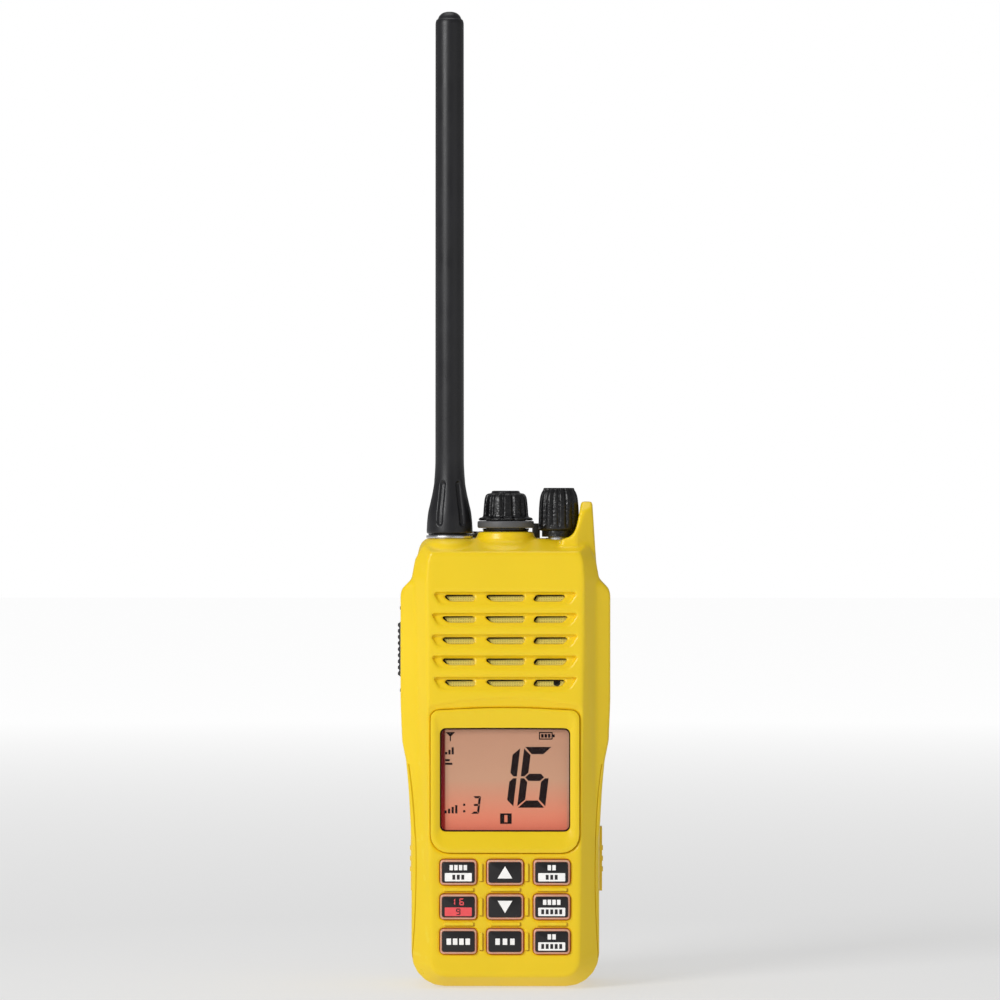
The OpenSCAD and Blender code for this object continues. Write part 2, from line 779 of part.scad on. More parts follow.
module battery_case()
{
    in = battery_wall;
    color("gold") difference() {
        intersection() {
            case_form(0, y_bat, y_back, 0);
            translate([-hw, y_bat, -over]) cube([body_w, body_d, z_bat + over]);
        }
        translate([0.6 - cell_hw, y_bat + in, 8]) cube([2 * cell_hw - 1.2, y_back - y_bat - 2 * in, z_bat - 20]);
        for (side = [-1, 1]) {
            translate([side * (hw - 1.5), latch_y, latch_mid])
                cube([3 + 2 * over, latch_w + 2 * slide_gap, latch_len + 2 * slide_gap], center = true);
            translate([side * (hw - battery_wall - 1.9), latch_y, latch_mid])
                cube([3.8, latch_w + 2, latch_len + 2], center = true);
        }
        for (k = [-1.5:1:1.5]) post([k * contact_dx, contact_z], 1.6, y_bat - over, y_bat + 0.8);
        for (side = [-1, 1]) translate([side * 7, latch_y, -over]) cylinder(r = 1.7, h = 1.6);
        for (x = [-1, 1], z = [-1, 1])
            post([x * (clip_w / 2 - 3), clip_z + z * 4.5], 1.1, y_back - battery_wall, y_back + over);
    }
}

module battery_cells()
{
    color("steelblue") for (side = [-1, 1])
        translate([side * cell_hw / 2, (y_bat + y_back) / 2, 8.5 + (z_bat - 21) / 2])
            cube([cell_hw - 1.4, y_back - y_bat - 2 * battery_wall - 0.4, z_bat - 21], center = true);
}

module battery_contacts()
{
    color("gold") for (k = [-1.5:1:1.5]) post([k * contact_dx, contact_z], 1.5, y_bat + 0.1, y_bat + 0.8);
    color("gold") for (side = [-1, 1]) translate([side * 7, latch_y, 0.1]) cylinder(r = 1.6, h = 0.5);
}

// A squeeze tab in the battery's side; side is -1 for the left and 1 for the right
module latch(side)
{
    tab = latch_proud + battery_wall + 0.4;
    color("gold") {
        translate([side * (hw + latch_proud - tab / 2), latch_y, latch_mid])
            cube([tab, latch_w, latch_len], center = true);
        translate([side * (hw - battery_wall - 0.6), latch_y, latch_mid])
            cube([latch_flange, latch_w + 1.2, latch_len + 1.2], center = true);
        for (k = [-1:1]) translate([side * (hw + latch_proud), latch_y, latch_mid + k * 3])
            cube([0.5, latch_w - 2, 1.2], center = true);
    }
}

module latch_springs()
{
    x0 = hw - battery_wall - 1.9;
    color("silver") for (side = [-1, 1]) translate([side * (x0 - 0.25), latch_y, latch_mid])
        cube([0.5, 2.4, latch_len - 6], center = true);
}

module clip_base()
{
    high = clip_z + 8;
    x_ear = clip_w / 2 - ear_t - 2.2;
    color([0.15, 0.15, 0.16]) difference() {
        union() {
            translate([-clip_w / 2, y_back, clip_z - 8]) cube([clip_w, base_t, high - clip_z + 8]);
            for (side = [-1, 1]) translate([side * (x_ear + ear_t / 2), 0, clip_z]) {
                translate([-ear_t / 2, pivot_y, 0]) rotate([0, 90, 0]) cylinder(r = 2.6, h = ear_t);
                translate([-ear_t / 2, y_back + base_t - 0.1, -2.6])
                    cube([ear_t, pivot_y - y_back - base_t + 0.1, 5.2]);
            }
            for (x = [-1, 1], z = [-1, 1])
                post([x * (clip_w / 2 - 3), clip_z + z * 4.5], 1.05, y_back - battery_wall, y_back + 0.2);
        }
        translate([-clip_w, pivot_y, clip_z]) rotate([0, 90, 0]) cylinder(r = pivot_r + 0.02, h = 2 * clip_w);
    }
}

module clip_pin()
{
    color("silver") translate([-clip_w / 2 + 0.4, pivot_y, clip_z]) rotate([0, 90, 0])
        cylinder(r = pivot_r, h = clip_w - 0.8);
}

// A torsion spring, as the tube that its coil fills
module clip_spring()
{
    w = clip_w / 2 - ear_t - 2.2 - clip_gap;
    color("silver") translate([-w + 0.2, pivot_y, clip_z]) rotate([0, 90, 0]) difference() {
        cylinder(r = 2, h = 2 * w - 0.4);
        translate([0, 0, -over]) cylinder(r = pivot_r + 0.3, h = 2 * w + 2 * over);
    }
}

module clip_lever()
{
    x_ear = clip_w / 2 - ear_t - 2.2;
    top = z_bat - 4;
    color([0.15, 0.15, 0.16]) difference() {
        union() {
            translate([-clip_w / 2, 0, 0]) rotate([90, 0, 90]) linear_extrude(clip_w)
                polygon([[y_clip, top], [y_clip, clip_low + 9], [y_clip - 1.2, clip_low + 6.4],
                    [y_back + 0.5, clip_low + 3.6], [y_back + 0.4, clip_low + 2.6],
                    [y_clip - 0.8, clip_low], [y_clip + 0.8, clip_low + 0.4],
                    [y_clip + clip_t, clip_low + 6], [y_clip + clip_t, top - 1],
                    [y_clip + clip_t - 0.8, top]]);
            for (side = [-1, 1]) translate([side * (clip_w / 2 - 0.9), pivot_y, clip_z])
                rotate([0, 90, 0]) cylinder(r = 2.3, h = 1.8, center = true);
        }
        translate([-clip_w, pivot_y, clip_z]) rotate([0, 90, 0])
            cylinder(r = pivot_r + run_fit, h = 2 * clip_w);
        translate([-x_ear - ear_t - clip_gap, y_back, clip_z - 4])
            cube([2 * (x_ear + ear_t + clip_gap), belt_gap + clip_t + over, 8]);
    }
}

front_case();
case_gasket();
rear_case();
case_screws();
display_bezel();
display_window();
lcd_panel();
light_guide();
keypad_mat();
dome_switches();
main_board();
speaker();
speaker_mesh();
microphone();
volume_pot();
antenna_socket();
antenna_ring();
jack_socket();
tether_strap();
tether_screw();
ptt_switch();
contact_block();
volume_knob();
pot_shaft();
tether_ring();
jack_cap();
cap_seal();
antenna_seal();
antenna_sleeve();
antenna_plug();
antenna_coil();
ptt_pad();
for (k = [0:8]) {
    key_frame(k);
    key_cap(k);
}
battery_case();
battery_cells();
battery_contacts();
latch(-1);  // latch_left
latch(1);  // latch_right
latch_springs();
clip_base();
clip_pin();
clip_spring();
clip_lever();
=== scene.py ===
"""Builds the finished look of a handheld two-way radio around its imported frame."""

import math

import bmesh
import bpy
from bpy.props import FloatProperty, FloatVectorProperty, IntProperty, PointerProperty
from mathutils import Matrix, Vector


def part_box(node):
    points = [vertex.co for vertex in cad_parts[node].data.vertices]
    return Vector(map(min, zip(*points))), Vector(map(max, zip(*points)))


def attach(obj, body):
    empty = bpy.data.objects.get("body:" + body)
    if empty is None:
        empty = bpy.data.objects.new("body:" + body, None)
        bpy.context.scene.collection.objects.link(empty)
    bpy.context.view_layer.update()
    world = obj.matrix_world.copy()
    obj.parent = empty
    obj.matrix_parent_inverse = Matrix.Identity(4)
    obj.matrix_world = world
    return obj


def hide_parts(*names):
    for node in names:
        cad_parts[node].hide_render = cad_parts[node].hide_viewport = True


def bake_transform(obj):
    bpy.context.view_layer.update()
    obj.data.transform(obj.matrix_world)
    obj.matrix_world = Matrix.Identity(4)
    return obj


bl_info = {
    "name": "Handheld Radio Finish",
    "version": (1, 0, 0),
    "blender": (4, 5, 0),
    "location": "View3D > Sidebar > Radio",
    "description": "Moulded cases, keys, screen, controls and finishes of a handheld radio",
    "category": "Object",
}

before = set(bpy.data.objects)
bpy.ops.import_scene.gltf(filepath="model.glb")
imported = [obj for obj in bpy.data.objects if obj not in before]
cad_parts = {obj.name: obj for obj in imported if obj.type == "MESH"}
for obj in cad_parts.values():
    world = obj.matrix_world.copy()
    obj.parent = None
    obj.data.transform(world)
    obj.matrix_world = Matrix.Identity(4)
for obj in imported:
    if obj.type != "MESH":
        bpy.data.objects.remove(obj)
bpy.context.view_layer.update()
MM = 0.001
TAU = 2 * math.pi
WELD = 1e-4      # corners nearer than this are one, in millimetres
LEVEL = 1e-5     # corners within this lie at one depth


def box_mm(node):
    """Lowest and highest corner of a frame node, in millimetres."""
    low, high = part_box(node)
    return low / MM, high / MM


def middle(node):
    low, high = box_mm(node)
    return (low + high) / 2


CASE_LOW, CASE_HIGH = box_mm("front_case")
BODY_LOW, BODY_HIGH = box_mm("battery_case")
HALF_W = BODY_HIGH.x
FRONT = CASE_LOW.y
SPLIT = CASE_HIGH.y
REAR = box_mm("rear_case")[0].y
BAY = BODY_LOW.y - 0.3
BACK = BODY_HIGH.y
BATTERY_TOP = BODY_HIGH.z
CHEEK = CASE_HIGH.x
WALL = 2.4
DECK = box_mm("antenna_ring")[0].z
CONTROL_Y = middle("volume_knob").y
KNOB_X, CAP_X, ANTENNA_X = (middle(n).x for n in ("volume_knob", "cap_seal", "antenna_sleeve"))
KEY_NAMES = ("channel", "up", "weather", "calling", "down", "power", "scan", "memory", "dual")


# ---------------------------------------------------------------- shapes in millimetres

def station(bm, corners, y, rounds, segments):
    """Adds one face standing in the front view at depth y, with its corners rounded."""
    verts = [bm.verts.new((x, y, z)) for x, z in corners]
    bm.faces.new(verts)
    for vert, radius in zip(verts, rounds):
        if radius:
            bmesh.ops.bevel(bm, geom=[vert], offset=radius, offset_type="OFFSET",
                            segments=segments, profile=0.5, affect="VERTICES", material=-1)


def at_depth(elements, y):
    """The edges or faces whose corners all lie at depth y."""
    return [e for e in elements if all(abs(v.co.y - y) < LEVEL for v in e.verts)]


def bridged(bm, pairs):
    """Closes the skin between each pair of edge loops."""
    for near, far in pairs:
        bmesh.ops.bridge_loops(bm, edges=near + far)
    bmesh.ops.recalc_face_normals(bm, faces=bm.faces)
    return bm


def loft(stations, segments=5):
    """A closed solid through front-view outlines: (y, corners, corner radii) each."""
    bm = bmesh.new()
    loops = []
    last = len(stations) - 1
    for place, (y, corners, rounds) in enumerate(stations):
        station(bm, corners, y, rounds, segments)
        loops.append(at_depth(bm.edges, y))
        if 0 < place < last:
            bmesh.ops.delete(bm, geom=at_depth(bm.faces, y), context="FACES_ONLY")
    return bridged(bm, zip(loops, loops[1:]))


def ring(stations, segments=5):
    """A closed frame through front-view outlines at different depths, all joined in turn."""
    bm = bmesh.new()
    loops = []
    for y, corners, rounds in stations:
        station(bm, corners, y, rounds, segments)
        loops.append(at_depth(bm.edges, y))
    bmesh.ops.delete(bm, geom=bm.faces[:], context="FACES_ONLY")
    return bridged(bm, zip(loops, loops[1:] + loops[:1]))


def slab(corners, y0, y1, radius=0.0, segments=4):
    """A flat piece with its front-view outline from y0 to y1."""
    rounds = radius if isinstance(radius, (list, tuple)) else [radius] * len(corners)
    return loft([(y0, corners, rounds), (y1, corners, rounds)], segments)


def rect(x0, x1, z0, z1):
    return [(x0, z0), (x1, z0), (x1, z1), (x0, z1)]


def centred_rect(x, z, w, h):
    return rect(x - w / 2, x + w / 2, z - h / 2, z + h / 2)


def block(low, high):
    bm = bmesh.new()
    low, high = Vector(low), Vector(high)
    bmesh.ops.create_cube(bm, size=1.0)
    bmesh.ops.scale(bm, vec=high - low, verts=bm.verts)
    bmesh.ops.translate(bm, vec=(low + high) / 2, verts=bm.verts)
    return bm


def turned(profile, steps=64, centre=(0.0, 0.0)):
    """A solid of revolution on a vertical axis from (radius, height) points."""
    bm = bmesh.new()
    verts = [bm.verts.new((r, 0, z)) for r, z in profile]
    edges = [bm.edges.new(pair) for pair in zip(verts, verts[1:])]
    bmesh.ops.spin(bm, geom=verts + edges, cent=(0, 0, 0), axis=(0, 0, 1), angle=TAU,
                   steps=steps, use_merge=True)
    bmesh.ops.remove_doubles(bm, verts=bm.verts, dist=WELD)
    bmesh.ops.dissolve_degenerate(bm, dist=WELD, edges=bm.edges)
    bmesh.ops.recalc_face_normals(bm, faces=bm.faces)
    bmesh.ops.translate(bm, vec=(centre[0], centre[1], 0), verts=bm.verts)
    return bm


def eased(profile, radius):
    """A closed outline of (radius, height) points with each corner rounded."""
    out = []
    for k, point in enumerate(profile):
        here, before = Vector(point), Vector(profile[k - 1])
        after = Vector(profile[(k + 1) % len(profile)])
        to, on = before - here, after - here
        cut_back = min(radius, to.length * 0.45, on.length * 0.45)
        a, b = here + to.normalized() * cut_back, here + on.normalized() * cut_back
        for t in (0, 1 / 3, 2 / 3, 1):
            out.append(tuple(a * (1 - t) ** 2 + here * 2 * t * (1 - t) + b * t * t))
    return out


def washer(node_name, bore, ease, x, steps=96):
    """A ring with eased corners, as wide and high as a frame node, on an upright axis at x."""
    low, high = box_mm(node_name)
    r = (high.x - low.x) / 2
    profile = eased([(bore, low.z), (r, low.z), (r, high.z), (bore, high.z)], ease)
    return turned(profile + profile[:1], steps, (x, CONTROL_Y))


def clamp(value):
    return max(0.0, min(1.0, value))


def bell(value):
    """0 at or above 1, rising smoothly to 1 at 0."""
    value = clamp(1.0 - abs(value))
    return value * value * (3 - 2 * value)


def fluted(bm, count, first, depth_at, x):
    """Sinks upright flutes into a turned shape, and moves it to its axis at x.

    The flutes are evenly spaced from the angle first. depth_at gives a corner's depth from its
    radius, the distance round to the nearest flute, and its height.
    """
    pitch = TAU / count
    for vert in bm.verts:
        radius = math.hypot(vert.co.x, vert.co.y)
        angle = (math.atan2(vert.co.y, vert.co.x) - first) % pitch
        depth = depth_at(radius, radius * min(angle, pitch - angle), vert.co.z)
        if depth > 0:
            vert.co.x *= (radius - depth) / radius
            vert.co.y *= (radius - depth) / radius
    bmesh.ops.translate(bm, vec=(x, CONTROL_Y, 0), verts=bm.verts)
    return bm


def smooth_curve(points, steps=6):
    """Points along a smooth curve through the given ones."""
    points = [Vector(p) for p in points]
    padded = [points[0] * 2 - points[1]] + points + [points[-1] * 2 - points[-2]]
    out = []
    for a, b, c, d in zip(padded, padded[1:], padded[2:], padded[3:]):
        for k in range(steps):
            t = k / steps
            out.append(0.5 * (2 * b + (c - a) * t + (2 * a - 5 * b + 4 * c - d) * t * t
                              + (3 * b - a - 3 * c + d) * t ** 3))
    out.append(points[-1])
    return [tuple(p) for p in out]


def soften(bm, width, segments=2, angle=30):
    """Rounds every edge that turns by more than angle degrees."""
    bmesh.ops.dissolve_limit(bm, angle_limit=math.radians(1), verts=bm.verts, edges=bm.edges)
    sharp = [e for e in bm.edges
             if len(e.link_faces) == 2 and e.calc_face_angle(0) > math.radians(angle)]
    bmesh.ops.bevel(bm, geom=sharp, offset=width, offset_type="OFFSET", segments=segments,
                    profile=0.5, affect="EDGES", clamp_overlap=True, material=-1)
    return bm


def joined(*parts):
    """One bmesh that holds several, which may overlap."""
    out = bmesh.new()
    for part in parts:
        mesh = bpy.data.meshes.new("part")
        part.to_mesh(mesh)
        part.free()
        out.from_mesh(mesh)
        bpy.data.meshes.remove(mesh)
    return out


def from_node(node, merge=0.0004):
    """A merged copy of a frame node's mesh, in millimetres."""
    bm = bmesh.new()
    bm.from_mesh(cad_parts[node].data)
    bmesh.ops.scale(bm, vec=(1 / MM,) * 3, verts=bm.verts)
    bmesh.ops.remove_doubles(bm, verts=bm.verts, dist=merge)
    bmesh.ops.dissolve_degenerate(bm, dist=1e-5, edges=bm.edges)
    return bm


def as_object(bm, name):
    """An object in millimetres, for use as a form or a cutter."""
    mesh = bpy.data.meshes.new(name)
    bm.to_mesh(mesh)
    bm.free()
    obj = bpy.data.objects.new(name, mesh)
    bpy.context.scene.collection.objects.link(obj)
    return obj


def evaluated(obj):
    """Applies the object's modifiers and returns the result as a new bmesh."""
    bpy.context.view_layer.update()
    depsgraph = bpy.context.evaluated_depsgraph_get()
    mesh = bpy.data.meshes.new_from_object(obj.evaluated_get(depsgraph))
    bm = bmesh.new()
    bm.from_mesh(mesh)
    bpy.data.meshes.remove(mesh)
    return bm


def discard(*objects):
    for obj in objects:
        mesh = obj.data
        bpy.data.objects.remove(obj)
        bpy.data.meshes.remove(mesh)


def combine(bm, parts, operation="DIFFERENCE"):
    """bm with each part taken away, added or kept in common, one after another."""
    form = as_object(bm, "form")
    tools = [as_object(part, "tool") for part in parts]
    for tool in tools:
        step = form.modifiers.new("step", "BOOLEAN")
        step.operation, step.solver, step.object = operation, "MANIFOLD", tool
    out = evaluated(form)
    discard(form, *tools)
    if len(out.faces) < 4:
        raise RuntimeError("a boolean left nothing")
    return out


def moulded(bm, voxel, rounds, faces=None):
    """Turns overlapping closed shapes into one skin with soft edges."""
    form = as_object(bm, "form")
    remesh = form.modifiers.new("skin", "REMESH")
    remesh.mode, remesh.voxel_size, remesh.adaptivity = "VOXEL", voxel, 0.0
    smooth = form.modifiers.new("soft", "SMOOTH")
    smooth.factor, smooth.iterations = 0.5, rounds
    if faces:
        bpy.context.view_layer.update()
        thin = form.modifiers.new("thin", "DECIMATE")
        thin.ratio = 1.0
        full = len(evaluated(form).faces) * 2
        thin.ratio = min(1.0, faces / full)
    out = evaluated(form)
    discard(form)
    if len(out.faces) < 50:
        raise RuntimeError("a moulded skin came out empty")
    return out


def piece(bm, name, finish, body="root", stands_for=(), crease=35, merged=True):
    """Puts a finished shape in the scene, in metres, riding on its body."""
    if merged:
        bmesh.ops.remove_doubles(bm, verts=bm.verts, dist=WELD)
    bmesh.ops.scale(bm, vec=(MM,) * 3, verts=bm.verts)
    mesh = bpy.data.meshes.new(name)
    bm.to_mesh(mesh)
    bm.free()
    mesh.materials.append(material(finish))
    mesh.shade_smooth()
    mesh.set_sharp_from_angle(angle=math.radians(crease))
    obj = bpy.data.objects.new(name, mesh)
    bpy.context.scene.collection.objects.link(obj)
    if len(mesh.polygons) == 0:
        raise RuntimeError(f"{name} came out empty")
    if body:
        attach(obj, body)
    if stands_for:
        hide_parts(*stands_for)
    SLOT_OF.get(finish, finish)
    return obj


def softened(node_name, width, name, finish, body="root", segments=2, crease=35):
    """A frame node's own shape with its edges rounded, as a piece."""
    piece(soften(from_node(node_name), width, segments), name, finish, body, (node_name,), crease)


# ---------------------------------------------------------------- finishes

# The slot each finish goes by, where that isn't its own name
SLOT_OF = {
    "knob_rubber": "black_rubber", "ptt_rubber": "black_rubber", "antenna_rubber": "black_rubber",
    "slot_foam": "black_rubber", "mic_boot": "black_rubber", "grip_black": "black_plastic",
    "screen_face": "lcd", "screen_ink": "lcd", "screen_edge": "lcd",
    "battery_yellow": "yellow_case", "latch_yellow": "yellow_case", "bezel_yellow": "yellow_case",
    "legend_white": "key_black", "legend_red": "key_black", "legend_dark": "key_black",
}


def node(tree, kind, inputs=None, **settings):
    """Adds a shader node; an input is a value or another node's socket."""
    new = tree.nodes.new(kind)
    for key, value in settings.items():
        setattr(new, key, value)
    for key, value in (inputs or {}).items():
        if isinstance(value, bpy.types.NodeSocket):
            tree.links.new(value, new.inputs[key])
        else:
            new.inputs[key].default_value = value
    return new


def linear(colour):
    return (*colour, 1.0)


def surface(name, colour, roughness, **sockets):
    """A new material with one Principled shader and its object coordinates."""
    made = bpy.data.materials.new(name)
    made.use_nodes = True
    tree = made.node_tree
    bsdf = tree.nodes["Principled BSDF"]
    bsdf.inputs["Base Color"].default_value = linear(colour)
    bsdf.inputs["Roughness"].default_value = roughness
    for key, value in sockets.items():
        bsdf.inputs[key.replace("_", " ")].default_value = value
    where = node(tree, "ShaderNodeTexCoord").outputs["Object"]
    return made, tree, bsdf, where


def noise(tree, where, scale, detail=3.0, rough=0.5):
    inputs = {"Vector": where, "Scale": scale, "Detail": detail, "Roughness": rough}
    return node(tree, "ShaderNodeTexNoise", inputs).outputs["Fac"]


def ramp(tree, factor, stops):
    made = node(tree, "ShaderNodeValToRGB", {"Fac": factor})
    band = made.color_ramp
    while len(band.elements) < len(stops):
        band.elements.new(0.5)
    for element, (place, colour) in zip(band.elements, stops):
        element.position = place
        element.color = linear(colour)
    return made.outputs["Color"]


def spread(tree, factor, low, high, start=0.3, stop=0.7):
    """Maps the factor's range from start to stop onto low to high."""
    inputs = {"Value": factor, "From Min": start, "From Max": stop, "To Min": low, "To Max": high}
    return node(tree, "ShaderNodeMapRange", inputs).outputs["Result"]


def mixed(tree, factor, first, second):
    """One colour turning into another as the factor goes from 0 to 1."""
    inputs = {"Factor": factor, 6: first, 7: second}
    return node(tree, "ShaderNodeMix", inputs, data_type="RGBA").outputs[2]


def tinted(tree, bsdf, where, colour, amount, scale):
    """Slow colour change over a moulding, so that no face is one flat colour."""
    darker = tuple(c * (1 - amount) for c in colour)
    lighter = tuple(min(1.0, c * (1 + amount)) for c in colour)
    tint = ramp(tree, noise(tree, where, scale, 4.0), [(0.3, darker), (0.7, lighter)])
    tree.links.new(tint, bsdf.inputs["Base Color"])


def grained(tree, bsdf, where, scale, strength, depth=0.0001, cells=False):
    """Fine surface texture as bump, with its size in millimetres from the scale."""
    if cells:
        height = node(tree, "ShaderNodeTexVoronoi", {"Vector": where, "Scale": scale},
                      feature="SMOOTH_F1").outputs["Distance"]
    else:
        height = noise(tree, where, scale, 6.0, 0.6)
    raised_by(tree, bsdf, height, strength, depth)


def raised_by(tree, bsdf, height, strength, depth):
    bump = node(tree, "ShaderNodeBump", {"Height": height, "Strength": strength, "Distance": depth})
    tree.links.new(bump.outputs["Normal"], bsdf.inputs["Normal"])


def patchy(tree, bsdf, where, low, high, scale):
    """Slow change of roughness."""
    patches = spread(tree, noise(tree, where, scale, 5.0), low, high)
    tree.links.new(patches, bsdf.inputs["Roughness"])


def worn(tree, bsdf, where, colour, lighter):
    """Slow tint with handled edges a touch lighter."""
    darker = tuple(c * 0.955 for c in colour)
    paler = tuple(min(1, c * 1.03) for c in colour)
    tint = ramp(tree, noise(tree, where, 22.0, 4.0), [(0.3, darker), (0.7, paler)])
    edge = node(tree, "ShaderNodeNewGeometry").outputs["Pointiness"]
    rub = spread(tree, edge, 0.0, 1.0, 0.52, 0.62)
    patches = spread(tree, noise(tree, where, 300.0, 5.0), 0.0, 0.5, 0.42, 0.62)
    mask = node(tree, "ShaderNodeMath", {0: rub, 1: patches}, operation="MULTIPLY").outputs[0]
    tree.links.new(mixed(tree, mask, tint, linear(lighter)), bsdf.inputs["Base Color"])


def colour_of(name):
    return tuple(getattr(bpy.context.scene.radio_colours, name))


def make_yellow(name, grain=0.10):
    colour = colour_of("case")
    made, tree, bsdf, where = surface(name, colour, 0.3, Subsurface_Weight=0.04,
                                      Subsurface_Scale=0.0006, Specular_IOR_Level=0.42)
    worn(tree, bsdf, where, colour, (0.95, 0.72, 0.05))
    patchy(tree, bsdf, where, 0.27, 0.36, 60.0)
    grained(tree, bsdf, where, 2600.0, grain, 0.00006)
    return made


def make_rubber(name, colour, roughness, scale, strength, cells=True):
    made, tree, bsdf, where = surface(name, colour, roughness, Specular_IOR_Level=0.45)
    tinted(tree, bsdf, where, colour, 0.18, 90.0)
    patchy(tree, bsdf, where, roughness - 0.06, roughness + 0.08, 160.0)
    grained(tree, bsdf, where, scale, strength, 0.00012, cells)
    return made


def make_metal(name, colour, roughness, brushed=False):
    made, tree, bsdf, where = surface(name, colour, roughness, Metallic=1.0)
    tinted(tree, bsdf, where, colour, 0.06, 120.0)
    patchy(tree, bsdf, where, roughness * 0.7, roughness * 1.35, 500.0)
    if brushed:
        stretch = node(tree, "ShaderNodeMapping", {"Vector": where, "Scale": (1.0, 1.0, 14.0)})
        where = stretch.outputs["Vector"]
    grained(tree, bsdf, where, 1500.0, 0.08, 0.00004)
    return made


def make_plain(name, colour, roughness, tint, grain, **sockets):
    """One colour with a slow tint, as (amount, scale), and a fine grain."""
    made, tree, bsdf, where = surface(name, colour, roughness, **sockets)
    tinted(tree, bsdf, where, colour, *tint)
    grained(tree, bsdf, where, *grain)
    return made


def make_screen(name):
    """The lit display: pale salmon in the middle and redder to the base, with a darker top and a
    dark band at the left painted as the bezel's shadow, and a pale band at the right painted as a
    highlight.
    """
    low, high = box_mm("display_window")
    made, tree, bsdf, where = surface(name, (0.6, 0.33, 0.22), 0.55, Specular_IOR_Level=0.1)
    parts = node(tree, "ShaderNodeSeparateXYZ", {"Vector": where})
    across = spread(tree, parts.outputs["X"], 0.0, 1.0, low.x * MM, high.x * MM)
    up = spread(tree, parts.outputs["Z"], 0.0, 1.0, low.z * MM, high.z * MM)
    # darker towards the top: painted shadow of the bezel
    body = ramp(tree, up, [(0.0, (0.82, 0.19, 0.12)), (0.18, (0.80, 0.26, 0.16)),
                           (0.5, (0.62, 0.34, 0.22)), (1.0, (0.55, 0.29, 0.19))])
    # painted shadow: the dark band along the left edge, darker still towards the top
    band = ramp(tree, up, [(0.0, (0.47, 0.02, 0.012)), (0.5, (0.26, 0.013, 0.02)),
                           (1.0, (0.11, 0.01, 0.007))])
    # painted highlight: the pale band along the right edge
    glare = ramp(tree, up, [(0.0, (0.62, 0.19, 0.12)), (0.5, (0.60, 0.36, 0.26)),
                            (1.0, (0.55, 0.30, 0.2))])
    width = high.x - low.x
    left = spread(tree, across, 1.0, 0.0, 2.2 / width, 2.6 / width)
    right = spread(tree, across, 0.0, 1.0, 1 - 2.1 / width, 1 - 1.7 / width)
    both = mixed(tree, right, mixed(tree, left, body, band), glare)
    # the painted shadow and highlight go into the glow as well as the colour
    tree.links.new(both, bsdf.inputs["Base Color"])
    tree.links.new(both, bsdf.inputs["Emission Color"])
    bsdf.inputs["Emission Strength"].default_value = 0.24
    grained(tree, bsdf, where, 3000.0, 0.03, 0.00002)
    return made


def make_window(name):
    made, tree, bsdf, where = surface(name, (0.03, 0.02, 0.02), 0.06, Alpha=0.06,
                                      Specular_IOR_Level=0.5)
    patchy(tree, bsdf, where, 0.04, 0.09, 140.0)
    return made


def make_cloth(name, colour):
    """Fine woven cloth: two crossing waves raise the threads, and the gaps between them are painted
    darker as shade.
    """
    made, tree, bsdf, where = surface(name, colour, 0.7)
    warp, weft = (node(tree, "ShaderNodeTexWave", {"Vector": where, "Scale": 460.0},
                       bands_direction=way).outputs["Fac"] for way in "XZ")
    cross = node(tree, "ShaderNodeMath", {0: warp, 1: weft}, operation="MAXIMUM").outputs[0]
    # painted shade: the gaps between the threads darker
    tint = ramp(tree, cross, [(0.3, tuple(c * 0.72 for c in colour)), (0.9, colour)])
    tree.links.new(tint, bsdf.inputs["Base Color"])
    raised_by(tree, bsdf, cross, 0.4, 0.0001)
    return made


def make_board(name):
    """Solder mask with paler tracks."""
    mask, pale, track = (0.01, 0.09, 0.04), (0.014, 0.12, 0.05), (0.05, 0.22, 0.09)
    made, tree, bsdf, where = surface(name, mask, 0.35)
    tracks = node(tree, "ShaderNodeTexBrick",
                  {"Vector": where, "Color1": linear(mask), "Color2": linear(pale),
                   "Mortar": linear(track), "Scale": 160.0, "Mortar Size": 0.03})
    tree.links.new(tracks.outputs["Color"], bsdf.inputs["Base Color"])
    grained(tree, bsdf, where, 900.0, 0.1)
    return made


def make_ink(name, colour, roughness=0.45, glow=0.0):
    return make_plain(name, colour, roughness, (0.06, 400.0), (4000.0, 0.05, 0.00002),
                      Specular_IOR_Level=0.15, Emission_Color=linear(colour),
                      Emission_Strength=glow)


